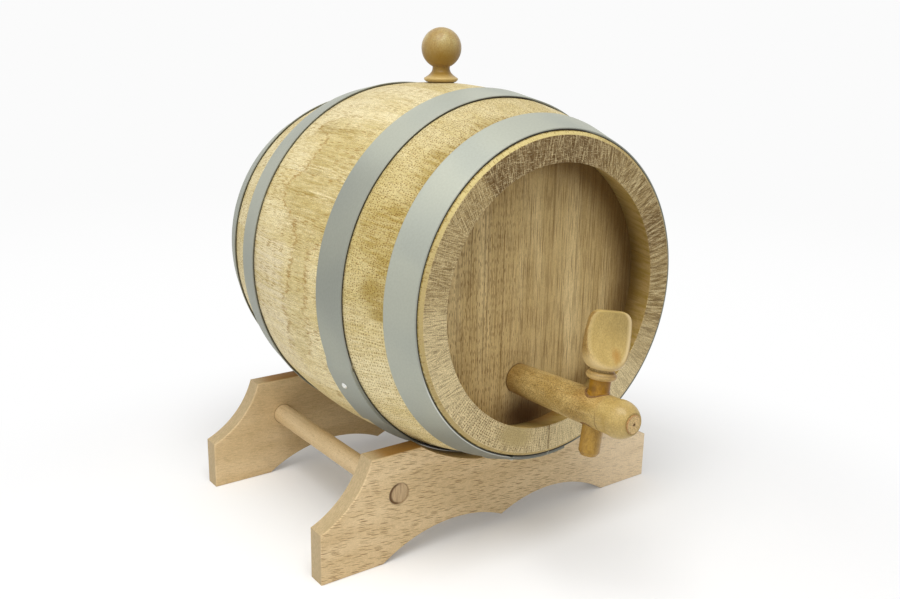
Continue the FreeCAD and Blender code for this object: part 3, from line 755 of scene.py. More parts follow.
def makeStave(number, profile, finish, shift):
    # the section carried round one stave's share of the circle; both sides fall away at the joint,
    # and the outside rises and falls a little along the grain
    share = 360 / cask["staves"]
    near = np.array(cask["jointSteps"])
    across = np.radians(share) * cask["bilgeRadius"]
    offsets = np.concatenate([near, np.linspace(2.5, across - 2.5, cask["roundSteps"]), across - near[::-1]])
    angles = (number - 1) * share - share / 2 + offsets / across * share
    gap = np.minimum(offsets, across - offsets)
    dip = cask["jointDepth"] * np.clip(1 - gap / cask["jointWidth"], 0, 1) ** 2
    inward = -leftOf(unit(np.roll(profile, -1, axis=0) - np.roll(profile, 1, axis=0)))
    along, radius = np.moveaxis(profile[None] + dip[:, None, None] * inward[None], 2, 0)
    slow, quick = cask["waveLengths"]
    swell = np.sin(profile[:, 0] / slow + shift) + np.sin(profile[:, 0] / quick + 2.3 * shift) * 0.4
    crown = np.sin(np.pi * offsets / across)[:, None]
    radius = radius - (finish == 0) * crown * cask["unevenness"] * (1.4 + swell) / 2.8
    points = onCask(angles[:, None] + 0 * along, along, radius)
    tones = np.concatenate([np.tile(finish, len(offsets) - 1), [3, 3]])
    return buildPiece(f"oakStave_{number:02d}", points, tubeFaces(*along.shape), staveFinishes, tones,
                      cask["sharpEdge"])


def boreBungHole(piece):
    # the tapered hole in the top stave, cut with the plug's own cone and a little play
    reach = np.array([bung["seat"] - 30, bung["seat"] + 6])
    radius = bung["topDiameter"] / 2 + bung["play"] + bung["taper"] * (reach - bung["seat"])
    profile = chain((0, reach[0]), (radius[0], reach[0]), (radius[1], reach[1]), (0, reach[1]))
    points = turnedPoints(profile, 96) + np.array(caskCentre)
    cutter = buildPiece("bungCutter", points, gridFaces(4, 96).tolist(), [])
    trim = piece.modifiers.new("bungHole", "BOOLEAN")
    trim.operation = "DIFFERENCE"
    trim.solver = "EXACT"
    trim.object = cutter
    graph = bpy.context.evaluated_depsgraph_get()
    old, piece.data = piece.data, bpy.data.meshes.new_from_object(piece.evaluated_get(graph))
    piece.modifiers.clear()
    bpy.data.meshes.remove(old)
    bpy.data.objects.remove(cutter)
    shadeByAngle(piece.data, cask["sharpEdge"])


def tagStave(piece, number, chance):
    # places for the materials: round the cask, along this stave's own grain, and on its end, where
    # growth rings lean by chance; shifts give each stave wood of its own
    places = caskPlaces(piece)
    radius, along = places[:, 2], places[:, 1]
    grainShift, ringShift = [np.array(cask[name]) * chance[:2] for name in ("grainShift", "ringShift")]
    turn = np.radians((places[:, 0] - (number - 1) * 360 / cask["staves"] + 180) % 360 - 180)
    sideways = turn * radius
    lean = np.radians(chance[2] * 2 * cask["ringLean"] - cask["ringLean"])
    ringX = sideways * np.sin(lean) + radius * np.cos(lean)
    ringY = sideways * np.cos(lean) - radius * np.sin(lean)
    storeVector(piece, "caskPlace", places)
    storeVector(piece, "grainPlace", columnsOf(along + grainShift[0], sideways + grainShift[1], radius))
    storeVector(piece, "endPlace", columnsOf(ringX + ringShift[0], ringY + ringShift[1], along))
    storeVector(piece, "staveTone", np.tile(chance, (len(places), 1)))


bung = {
    "seat": 116.3,
    "topDiameter": 17,
    "taper": 0.06,
    "plugLength": 21,
    "play": 0.05,
    "flangeDiameter": 21.7,
    "flangeBevel": 1.5,
    "flangeEdge": 0.9,
    "neckDiameter": 11,
    "neckHeight": 8.4,
    "ballDiameter": 25.3,
    "ballHeight": 20.9,
    "flarePower": 2.1,
    "turns": 128,
}

luck = np.random.default_rng(31)
section = staveProfile()
sectionFinish = stretchFinish(section)
for number in range(1, cask["staves"] + 1):
    chance = luck.random(3)
    piece = makeStave(number, section, sectionFinish, 6.28 * chance[0])
    if number == 1:
        boreBungHole(piece)
    tagStave(piece, number, chance)
    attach(piece, "cask")
    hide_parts(f"stave_{number:02d}")
print("stage: staves made")


# hoops: a strip carried once round the cask and over its own end

hoops = {
    "thickness": 1.2,
    "corner": 0.3,
    "clearance": 0.1,
    "lapLength": 44,
    "runOut": 7,
    "dents": 0.06,
    "deepestDent": 0.09,
    "dentWaves": (3, 5, 8, 13, 21),
    "places": {
        "front_head_hoop": {"reach": 115.5, "width": 20.5, "lapAngle": 184, "end": -1},
        "front_bilge_hoop": {"reach": 64, "width": 22.1, "lapAngle": 237.5, "end": -1},
        "rear_bilge_hoop": {"reach": 64, "width": 22.1, "lapAngle": 241, "end": 1},
        "rear_head_hoop": {"reach": 115.5, "width": 20.5, "lapAngle": 184, "end": 1},
    },
}


def hoopSection():
    # rounded rectangle as (share of the width, extra way across, height above the inner face)
    corner, thick = hoops["corner"], hoops["thickness"]
    parts = []
    for side, height, start in ((0, corner, 180), (1, corner, 270),
                                (1, thick - corner, 0), (0, thick - corner, 90)):
        spots = arcPoints((-corner if side else corner, height), corner, start, start + 90, 5)
        parts.append(np.insert(spots, 0, side, axis=1))
    flat = np.linspace(0.94, 0.06, 9)
    top, bottom = columnsOf(flat, 0 * flat, thick + 0 * flat), columnsOf(flat[::-1], 0 * flat, 0 * flat)
    return np.concatenate([parts[0], bottom, parts[1], parts[2], top, parts[3]])


def makeHoop(node, values, seed):
    # the strip starts as the outer layer of the lap, comes down past the end of the inner layer,
    # goes once round and ends under its own start; it is as wide as a cone through both edges
    far, width, end = values["reach"], values["width"], values["end"]
    near = far - width
    bulge = bentRadius(far - width / 2) - (bentRadius(far) + bentRadius(near)) / 2
    lift = bulge + hoops["clearance"]
    farRadius, nearRadius = bentRadius(far) + lift, bentRadius(near) + lift
    lapEnd = np.degrees(hoops["lapLength"] / nearRadius) / 2
    runEnd = lapEnd + np.degrees(hoops["runOut"] / nearRadius)
    turn = np.concatenate([np.linspace(-lapEnd, lapEnd, 30)[:-1], np.linspace(lapEnd, runEnd, 10)[:-1],
                           np.linspace(runEnd, 360 + lapEnd, 330)])
    height = hoops["thickness"] * smoothStep(turn, runEnd, lapEnd - 0.5) + 0.01
    height[turn > 180] = 0
    shape = hoopSection()
    across = shape[:, 0] * width + shape[:, 1]
    share = across / width
    rng = np.random.default_rng(seed)
    around = np.radians(turn[:, None])
    waves = sum(rng.normal() * np.cos(around * count + 6.3 * rng.random() + share * rng.normal())
                for count in hoops["dentWaves"])
    dents = np.clip(hoops["dents"] * (np.abs(waves) - 0.2) / 3, 0, hoops["deepestDent"])
    radius = farRadius + share * (nearRadius - farRadius) + shape[:, 2] + height[:, None] - dents
    along = across - far + 0 * radius
    angles = values["lapAngle"] + turn[:, None] + 0 * radius
    if end > 0:
        angles, along = -angles, -along
    piece = buildPiece(node + "_strip", onCask(angles, along, radius), tubeFaces(*radius.shape), [hoopSteel],
                       sharpAngle=40)
    places = caskPlaces(piece)
    reach = np.abs(places[:, 1])
    tapSide = far - reach if end < 0 else reach - near
    line = farRadius + (far - reach) / width * (nearRadius - farRadius)
    storeVector(piece, "caskPlace", places)
    storeVector(piece, "stripPlace", columnsOf(tapSide / width, places[:, 2] - line, 0 * line))
    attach(piece, "cask")
    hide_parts(node)


for seed, (node, values) in enumerate(hoops["places"].items()):
    makeHoop(node, values, 50 + seed)
print("stage: hoops made")


# turned pieces: tap, key and bung

turnedBeech = {
    "honey": srgb(158, 130, 73),
    "light": srgb(184, 158, 100),
    "amber": srgb(134, 98, 44),
    "fleck": srgb(116, 82, 38),
    "cut": srgb(190, 164, 98),
    "neck": srgb(163, 116, 18),
    "spout": srgb(168, 128, 44),
    "spoutHighlight": srgb(206, 176, 126),
    "orange": srgb(166, 108, 38),
    "blot": srgb(164, 112, 34),
    "flank": srgb(216, 190, 134),
    "rimHighlight": srgb(228, 205, 158),
    "collar": srgb(212, 178, 116),
    "tapUnderShade": srgb(112, 72, 14),
    "knob": srgb(178, 160, 106),
    "knobUnderShade": srgb(150, 114, 34),
    "knobFoot": srgb(200, 173, 110),
    "plug": srgb(212, 180, 124),
    "glueLine": srgb(140, 82, 36),
    "burntAndShade": srgb(84, 54, 22),
    "cork": srgb(140, 104, 52),
    "darkCork": srgb(104, 72, 34),
    "flecks": (1.5, 0.7, 0.9, 0.45),
    "tapFace": 59.15,
    "scoreReach": 75.2,
    "polish": {"Roughness": 0.45, "Specular IOR Level": 0.15, "Coat Weight": 0.3, "Coat Roughness": 0.2},
}


def turnedBase(place, first, second, warmth, grit=0.38):
    # mottled turned wood: soft patches, streaks and fine flecks along X
    tone, fine, gritty = useGroup(streaks, place, 30, 1.8)
    flecks = dashes(place, turnedBeech["flecks"], solidPores)
    wood = layered(turnedBeech, first,
                   (ease(noise(place, (18, 8, 8), 4, 0.6), 0.34, 0.64), second),
                   (ease(tone, 0.5, 0.75, 0, warmth), "amber"),
                   (flecks * 0.45, "fleck"))
    return speckle(wood, gritty, grit), tone, fine, flecks


def endTurned(wood, fine, flecks):
    return endMaterial(wood, fine - flecks, 0.22, 0.12, ease(fine, 0.3, 0.7, 0.38, 0.54))


def makeTapBeech():
    # darker at the root, partly painted shade, with a painted shadow where it leaves the head and painted
    # shade on its underside by the root; paler at the nose, partly a painted highlight; a scored ring ahead
    # of the key
    startMaterial("tapBeech", turnedBeech["polish"])
    place = objectPlace(turn=(0, 0, 90))
    wood, _, fine, flecks = turnedBase(place, "honey", "light", 0.4)
    along, _, up = split(place)
    reach = along - turnedBeech["tapFace"]
    score = ease(abs(reach - turnedBeech["scoreReach"]), 0.15, 0.5, 0.5, 0) * ease(up, 114, 104)
    wood = layered(
        turnedBeech, wood,
        (ease(reach, 16, 0, 0, 0.4), "amber"),
        (ease(reach, 1.3, 0.2, 0, 0.75), "burntAndShade"),
        (ease(reach, 58, 84, 0, 0.5), "cut"),
        (ease(up, 108, 98) * ease(reach, 46, 14) * 0.6, "tapUnderShade"),
        (score, "burntAndShade"),
        (between(reach, 57, 73, 3) * ease(up, 112, 117) * 0.15, "orange"))
    return endTurned(wood, fine, flecks)


def makeKeyBeech():
    # dark neck and spout, paler where the paddle is cut, an orange blot low in its hollow
    startMaterial("keyBeech", turnedBeech["polish"])
    local = read("keyPlace")
    across, depth, up = split(local)
    cutShare, rimHighlightShare, _ = split(read("keyCut"))
    wood, tone, fine, flecks = turnedBase(join(up, across, depth), "honey", "light", 0.35)
    flank = ease(up, 22, 24) * (1 - cutShare)
    lowPart = ease(up, 26, 34)
    groove = larger(between(up, 21.9, 22.9, 0.35), between(up, 20, 20.4, 0.6))
    blot = spot(across, up, (4.2, 32), (2.6, 3.8)) + (tone * 2 - 1)
    # painted shade on the upper flank and in the grooves by the collar; painted highlights on the rim of each
    # cut face, strongest at the right, and along the top
    wood = layered(
        turnedBeech, wood,
        (flank * lowPart * 0.5, "amber"),
        (cutShare * 0.6, "cut"),
        (flank * (1 - lowPart) * 0.8, "flank"),
        (rimHighlightShare * ease(across, 3, 10, 0.15, 0.75), "rimHighlight"),
        (ease(up, 53, 54.8, 0, 0.7), "cut"),
        (ease(up, -4, -10, 0, 0.8), "spout"),
        (between(up, 7, 16.8, 1) * 0.9, "neck"),
        (between(up, 9, 22.5, 1.5) * ease(across, 0, 6) * 0.45, "orange"),
        (between(up, 17.4, 21.4, 0.5) * 0.5, "collar"),
        (groove * 0.3, "burntAndShade"),
        (ease(blot, 0.1, 1.6, 0.6, 0) * cutShare, "blot"))
    # the hollow is darker up and to the right, a painted shade; the spout is lighter at the right, a painted
    # highlight, and darker at the left, a painted shade
    hollow = across * 0.05 + (up * 0.05 - 2)
    wood = shade(wood, 1 - ease(hollow, -0.1, 1) * cutShare * (1 - rimHighlightShare) * 0.22)
    onSpout = ease(up, -8, -12)
    mark = ease(spot(across, up, (-4.8, 12), (1.5, 2.6)), 0.3, 1.3, 0.55, 0)
    scorch = ease(noise(local, (1.6, 1.6, 2.6), 3, 0.7), 0.46, 0.62) * ease(up, 17.5, 15.5) * 0.26
    wood = layered(turnedBeech, wood, (onSpout * ease(across, 0, 5.5) * 0.45, "spoutHighlight"),
                   (onSpout * ease(across, -3.6, -5.8) * 0.4, "amber"),
                   (larger(mark, scorch), "burntAndShade"))
    return endTurned(wood, fine, flecks)


def makeBungBeech():
    # pale on top of the ball, browner below and in the neck, a painted shade; a painted shadow where the
    # flange meets the stave
    startMaterial("bungBeech", {**turnedBeech["polish"], "Coat Weight": 0.25, "Coat Roughness": 0.24,
                                "Sheen Weight": 0.22})
    place = objectPlace(turn=(0, 90, 0), centre=(0, caskCentre.y, caskCentre.z))
    wood, _, fine, flecks = turnedBase(place, "knob", "honey", 0.4, 0.18)
    height = split(place)[0] - bung["seat"]
    middle = bung["ballHeight"]
    wood = layered(turnedBeech, wood, (ease(height, middle + 7, middle - 6, 0, 0.85), "knobUnderShade"),
                   (ease(height, 5.5, 1.8, 0, 0.85), "knobFoot"),
                   (ease(height, 0.7, 0, 0, 0.6), "burntAndShade"))
    return endTurned(wood, fine, flecks)


def makePlugBeech():
    # end grain of the short plug: a dark glue line round it and a dark mark in the middle
    startMaterial("plugBeech", {"Roughness": 0.5, "Specular IOR Level": 0.35})
    place = objectPlace(turn=(0, 0, 90))
    wood, _, fine, flecks = turnedBase(place, "plug", "light", 0.25)
    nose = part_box("tap_end_plug")
    centre = (nose[0] + nose[1]) / 2 / mm
    _, across, up = split(place)
    span = spot(across, up, (centre.x, centre.z + 0.1), (1, 1))
    wood = layered(turnedBeech, wood, (ease(span, 4.5, 5, 0, 0.55), "glueLine"),
                   (ease(span, 1.1, 0.6, 0, 0.85), "burntAndShade"))
    return endTurned(wood, fine, flecks)


def makeCork():
    startMaterial("corkSleeve", {"Roughness": 0.85})
    grains = addNode("TexVoronoi", {"Vector": objectPlace(), "Scale": 1.1, "Randomness": 1})
    luck = split(Signal(grains.outputs["Color"]))[0]
    wood = layered(turnedBeech, "cork", (luck, "darkCork"))
    return endMaterial(wood, Signal(grains.outputs["Distance"]), 0.4, 0.2)


tapBeech = makeTapBeech()
keyBeech = makeKeyBeech()
bungBeech = makeBungBeech()
plugBeech = makePlugBeech()
corkSleeve = makeCork()


def makeBung():
    # plug, flared flange, neck and ball: one profile of (radius, height) turned about an upright axis;
    # the flare narrows with a power of the height that is left
    seat, neck, ball = bung["seat"], bung["neckDiameter"] / 2, bung["ballDiameter"] / 2
    flange, bevel = bung["flangeDiameter"] / 2, bung["flangeBevel"]
    top, foot = bung["topDiameter"] / 2, seat - bung["plugLength"]
    tip = top - bung["taper"] * bung["plugLength"]
    waist, edge = seat + bung["neckHeight"], seat + bevel + bung["flangeEdge"]
    rise = np.linspace(0, 1, 14)[1:-1]
    flare = columnsOf(neck + (flange - neck) * (1 - rise) ** bung["flarePower"], edge + (waist - edge) * rise)
    middle, meet = seat + bung["ballHeight"], math.degrees(math.acos(neck / ball))
    profile = chain((0, foot), (tip - 0.6, foot), (tip, foot + 0.6), (top, seat - 0.02), (top + 0.05, seat),
                    (flange - bevel, seat), (flange - 0.12, seat + bevel - 0.25), (flange, seat + bevel),
                    (flange, edge - 0.3), (flange - 0.12, edge - 0.05), flare, (neck, waist),
                    (neck, middle - ball * math.sin(math.radians(meet))),
                    arcPoints((0, middle), ball, -meet, 90, 40))
    points = turnedPoints(profile, bung["turns"]) + np.array(caskCentre)
    faces = gridFaces(len(profile), bung["turns"]).tolist()
    piece = buildPiece("bungKnob", points, faces, [bungBeech], sharpAngle=38)
    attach(piece, "bung")
    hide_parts("bung")


key = {
    "turn": -23,
    "plugDiameter": 12.1,
    "taper": 0.012,
    "bodyRadius": 10.2,
    "spoutLength": 26,
    "spoutBore": 5.6,
    "boreDepth": 25,
    "easeHeight": 2.4,
    "easeWidth": 1.7,
    "neckDiameter": 11.7,
    "collarBottom": 17.1,
    "collarHeight": 4.6,
    "collarDiameter": 17,
    "groove": 1.4,
    "bellyHeight": 39.5,
    "footRound": 1.1,
    "top": 55,
    "diameter": 26.2,
    "topDiameter": 22,
    "cornerRadius": 6.4,
    "paddleThickness": 4.7,
    "dishRadius": 29.6,
    "dishHeight": 45.8,
    "rimEase": 0.8,
    "rimSharpness": 9,
    "pointGap": 0.7,
    "turns": 224,
}


def keyFrame():
    # the key's own axes: Z up its joint's axis, Y back along the tap
    joints = {joint["name"]: joint for joint in frame["joints"]}
    up = Vector(joints["key_turn"]["axis"]).normalized()
    back = -Vector(joints["tap_pull"]["axis"]).normalized()
    side = back.cross(up).normalized()
    axes = Matrix((side, up.cross(side), up)).transposed().to_4x4()
    axes.translation = Vector(joints["key_turn"]["pos_m"]) / mm
    return axes @ Matrix.Rotation(math.radians(key["turn"]), 4, "Z")


def handleSide():
    # side of the handle from base to top: a round foot, x cubed plus y cubed held at one, then part of
    # an ellipse above the belly and a round corner
    belly, level, top, corner = key["diameter"] / 2, key["bellyHeight"], key["top"], key["cornerRadius"]
    base = key["collarBottom"] + key["collarHeight"] + key["groove"]
    foot = base - key["footRound"]
    drop = np.concatenate([np.linspace(0, 0.8, 18), np.linspace(0.83, (level - base) / (level - foot), 16)])
    lower = columnsOf(belly * (1 - drop ** 3) ** (1 / 3), level - drop * (level - foot))
    turn = math.acos(key["topDiameter"] / 2 / belly)
    angles = np.linspace(0, turn, 24)
    upper = columnsOf(belly * np.cos(angles), level + (top - level) / math.sin(turn) * np.sin(angles))
    side = np.concatenate([lower[::-1], upper[1:]])
    below = side[side[:, 1] < top - corner]
    return chain(below, arcPoints((below[-1][0] - corner, top - corner), corner, 6, 90, 14))


def paddleLimit(height):
    # half the thickness of the paddle: a flat upper part, and a hollow of one radius below it
    drop = np.clip(key["dishHeight"] - height, 0, key["dishRadius"])
    return (key["paddleThickness"] / 2 + key["dishRadius"]
            - np.sqrt(np.maximum(key["dishRadius"] ** 2 - drop ** 2, 0)))


def makeKey():
    # the key turned as one profile; above its base each point's sideways reach is held inside the
    # dished paddle, and the two limits are blended so that the rim between them is round:
    # held to the power -n is the sum of both limits to the power -n
    body, neck, low, top = key["bodyRadius"], key["neckDiameter"] / 2, -key["spoutLength"], key["top"]
    spout = key["plugDiameter"] / 2 - key["taper"] * body
    neckFoot = key["plugDiameter"] / 2 + key["taper"] * body
    collar, bottom, bore = key["collarDiameter"] / 2, key["collarBottom"], key["spoutBore"] / 2
    ring = arcPoints((0, 0), 1, -78, 78, 12)
    collarSize = np.array([collar - neck, key["collarHeight"] / 2])
    collarRound = ring * collarSize + (neck, bottom + collarSize[1])
    side = handleSide()
    base = side[0]
    profile = chain(
        (0, low + key["boreDepth"]), (bore, low + key["boreDepth"]), (bore, low + 0.4), (bore + 0.3, low),
        (spout - key["easeWidth"], low), (spout - key["easeWidth"] + 0.35, low + 0.25),
        (spout, low + key["easeHeight"]), (spout, -body), (neckFoot, body), (neck, body + 0.3),
        (neck, bottom - 0.2), collarRound, (base[0] - 0.6, base[1] - key["groove"] + 0.2),
        (base[0] - 0.6, base[1] - 0.25), side, (0, top))
    lengths = np.linalg.norm(np.diff(profile, axis=0), axis=1)
    steps = np.maximum(1, np.ceil(lengths / key["pointGap"]).astype(int))
    profile = chain(*[np.linspace(profile[i], profile[i + 1], steps[i], endpoint=False)
                      for i in range(len(steps))], profile[-1])
    angles = np.linspace(0, 2 * np.pi, key["turns"], endpoint=False)
    radius, height = profile[:, :1], profile[:, 1:]
    soft, sharp = key["rimEase"], key["rimSharpness"]
    crest = np.clip(height - (top - soft), 0, soft)
    limit = paddleLimit(height) - (soft - np.sqrt(soft ** 2 - crest ** 2)) * (height > top - soft)
    limit = np.where(height < base[1], 1e3, limit)
    wide = limit / np.maximum(np.abs(np.sin(angles)), 1e-6)
    held = (np.maximum(radius, 1e-6) ** -sharp + wide ** -sharp) ** (-1 / sharp)
    held = np.where(radius < 1e-6, 0, held)
    points = placed(columnsOf(held * np.cos(angles), held * np.sin(angles), height + 0 * held), keyFrame())
    faces = gridFaces(len(profile), key["turns"]).tolist()
    piece = buildPiece("tapKeyPaddle", points, faces, [keyBeech], sharpAngle=40)

    # keyCut: share of a cut face, and share of its rim, which takes a painted highlight
    local = placed(vertexPlaces(piece), keyFrame().inverted())
    across, depth, up = local.T
    face = paddleLimit(up)
    edgeGap = np.interp(up, side[:, 1], side[:, 0]) - np.hypot(across, depth)
    isCut = (up > base[1] + 1) * smoothStep(np.abs(depth), face - 0.9, face - 0.15)
    rim = isCut * smoothStep(edgeGap, 0.1, 0.5) * (1 - smoothStep(edgeGap, 0.9, 3.2))
    storeVector(piece, "keyPlace", local)
    storeVector(piece, "keyCut", columnsOf(isCut * smoothStep(edgeGap, 0.1, 0.7), rim, 0 * rim))
    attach(piece, "tap_key")
    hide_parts("tap_key")


makeBung()
makeKey()
print("stage: bung and key made")


# stand

beech = {
    "warm": srgb(211, 184, 138),
    "light": srgb(232, 208, 166),
    "sunlit": srgb(244, 221, 184),
    "fleck": srgb(114, 74, 16),
    "shadeTone": srgb(184, 153, 108),
    "mouthShade": srgb(92, 60, 28),
    "edgeTone": srgb(166, 147, 108),
    "edgeLight": srgb(184, 161, 124),
    "shoulderShadow": srgb(150, 104, 30),
    "dowelEnd": srgb(192, 164, 126),
    "dowelLine": srgb(150, 120, 84),
    "dowelFlecks": (6.5, 0.8, 0.9, 0.3),
    "dowelSmallFlecks": (3.6, 0.5, 0.8, 0.4),
    "plateFlecks": (16, 0.8, 0.92, 0.23, 0.95),
    "plateSmallFlecks": (8, 0.6, 0.8, 0.24, 1),
    "grainFall": 8,
    "halfDepth": 82.3,
    "plateThickness": 13,
    "halfWidth": 132,
    "shoulderWidth": 98.2,
    "shoulderHeight": 69,
    "footHeight": 31.6,
    "footInner": 90.4,
    "sideHollow": 5.6,
    "archTop": (40, 15.3),
    "cuspHeight": 6.6,
    "ease": 0.9,
    "stretcherOffset": 79.6,
    "stretcherHeight": 43.2,
    "holeRadius": 6.65,
    "mouthEase": 0.5,
    "holeSteps": 72,
    "cradleRadius": {"front_cradle": 111.727, "rear_cradle": 107.34},
}
standMiddle = (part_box("front_cradle")[0].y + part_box("rear_cradle")[1].y) / 2 / mm


def beechBase(turn, flecks, smallFlecks, clear, *edges):
    # flat-sawn beech: even warm wood with short dark flecks along the grain where it is clear
    across = split(objectPlace())[0]
    place = objectPlace(turn=turn)
    tone, fine, grit = useGroup(streaks, place, 100, 3.6)
    wood = layered(
        beech, "warm",
        (ease(noise(place, (80, 16, 16), 3), 0.38, 0.66, 0.1, 0.6), "light"),
        (ease(across, 30, 105, 0, 0.9), "sunlit"),
        (ease(tone, 0.5, 0.75, 0, 0.3), "shadeTone"),
        (smallFlecks * clear * 0.4, "fleck"),
        (flecks * clear, "fleck"), *edges)
    return speckle(wood, grit, 0.09), fine


def clearShare(across, depth):
    # flecks are weaker to the right, and behind the front plate
    return ease(across, 20, 110, 1, 0.4) * ease(depth, standMiddle - 60, standMiddle - 50, 1, 0.3)


def makePlateBeech():
    startMaterial("plateBeech", {"Roughness": 0.56, "Specular IOR Level": 0.25})
    whole = objectPlace()
    across, depth, up = split(whole)
    # the grain falls a little towards +X, and the flecks lie in the plane of the board
    fall = math.radians(beech["grainFall"])
    flat = join(across * math.cos(fall) - up * math.sin(fall), across * math.sin(fall) + up * math.cos(fall))
    flecks = dashes(flat, beech["plateFlecks"])
    # browner, duller wood without flecks on the sawn edges, and painted shadow on the level shoulders, darker
    # towards the cask
    half, shoulder = beech["plateThickness"] / 2, beech["shoulderWidth"]
    onEdge = ease(abs(abs(depth - standMiddle) - (beech["halfDepth"] - half)), half - 0.1, half - 1.2)
    sawn = noise(whole, (3, 1.1, 2.4), 4, 0.65)
    dull = layered(beech, "edgeTone", (ease(sawn, 0.4, 0.62), "edgeLight"))
    level = ease(up, beech["shoulderHeight"] - 1.4, beech["shoulderHeight"] - 0.4)
    inward = ease(abs(across), shoulder - 1, shoulder - 14, 0.05, 0.85)
    wood, fine = beechBase((0, 0, 0), flecks, dashes(flat, beech["plateSmallFlecks"]),
                           clearShare(across, depth) * (1 - onEdge),
                           (onEdge * 0.8, dull), (onEdge * level * inward, "shoulderShadow"))
    # painted shade: a dark line round the mouth of each dowel hole
    span = spot(abs(across), up, (beech["stretcherOffset"], beech["stretcherHeight"]), (1, 1))
    mouth = ease(span, beech["holeRadius"] + 0.9, beech["holeRadius"] + 0.2, 0, 0.4)
    return endMaterial(layered(beech, wood, (mouth, "mouthShade")), fine - flecks, 0.3, 0.15)


def makeDowelBeech():
    startMaterial("dowelBeech", {"Roughness": 0.56, "Specular IOR Level": 0.25})
    across, depth, up = split(objectPlace())
    place = objectPlace(turn=(0, 0, 90))
    flecks = dashes(place, beech["dowelFlecks"], solidPores)
    wood, fine = beechBase((0, 0, 90), flecks, dashes(place, beech["dowelSmallFlecks"], solidPores),
                           clearShare(across, depth))
    # end grain with upright lines, and a ring of painted shade that is widest on the left
    side, hand = abs(across), calc("SIGN", across)
    onEnd = ease(depth - (standMiddle - beech["halfDepth"]), 0.83, 0.86, 1, 0)
    lines = noise(join(across, up), (1.3, 14, 1), 3)
    span = spot(side - hand * 0.8, up, (beech["stretcherOffset"], beech["stretcherHeight"] - 0.2), (1, 1))
    turn = (side - beech["stretcherOffset"]) * hand
    wood = layered(beech, wood, (onEnd * 0.7, "dowelEnd"),
                   (onEnd * ease(lines, 0.42, 0.6) * 0.45, "dowelLine"),
                   (onEnd * ease(span, 4.9, 6.2, 0, 0.9) * ease(turn, 3, -2), "mouthShade"))
    return endMaterial(wood, fine - flecks, 0.25, 0.15)


plateBeech = makePlateBeech()
dowelBeech = makeDowelBeech()


def arcThrough(first, middle, last, count):
    # points on the circle through three points, from the first to the last; its centre is where
    # the lines that halve the chords cross
    (ax, ay), (bx, by), (cx, cy) = first, middle, last
    double = 2 * (ax * (by - cy) + bx * (cy - ay) + cx * (ay - by))
    squares = [x * x + y * y for x, y in (first, middle, last)]
    ux = (squares[0] * (by - cy) + squares[1] * (cy - ay) + squares[2] * (ay - by)) / double
    uy = (squares[0] * (cx - bx) + squares[1] * (ax - cx) + squares[2] * (bx - ax)) / double
    start, mid, stop = [math.degrees(math.atan2(y - uy, x - ux)) for x, y in (first, middle, last)]
    turn = (stop - start) % 360
    if (mid - start) % 360 > turn:
        turn -= 360
    return arcPoints((ux, uy), math.hypot(ax - ux, ay - uy), start, start + turn, count)


def plateOutline(radius):
    # right half from the cusp below round the foot and shoulder to the cradle, then mirrored;
    # the second result tells how much an arris is eased at each point
    wide, inner, shoulder = beech["halfWidth"], beech["footInner"], beech["shoulderWidth"]
    top, foot, centre = beech["shoulderHeight"], beech["footHeight"], caskCentre.z
    inward = leftOf(unit(np.array([[shoulder - wide, top - foot]])))[0]
    hollow = np.array([(wide + shoulder) / 2, (foot + top) / 2]) + inward * beech["sideHollow"]
    cornerX = math.sqrt(radius ** 2 - (centre - top) ** 2)
    base, outside, level = [np.linspace(a, b, n, endpoint=False) for a, b, n in (
        ((inner, 0), (wide, 0), 24), ((wide, 0), (wide, foot), 20), ((shoulder, top), (cornerX, top), 22))]
    right = chain(arcThrough((0, beech["cuspHeight"]), beech["archTop"], (inner, 0), 64)[:-1], base, outside,
                  arcThrough((wide, foot), hollow, (shoulder, top), 44)[:-1], level)
    turn = math.degrees(math.asin(cornerX / radius))
    cradle = arcPoints((0, centre), radius, -90 + turn, -90 - turn, 150)
    outline = chain(right, cradle, right[1:][::-1] * (-1, 1))
    return outline, np.concatenate([np.ones(len(right)), np.zeros(len(cradle)), np.ones(len(right) - 1)])


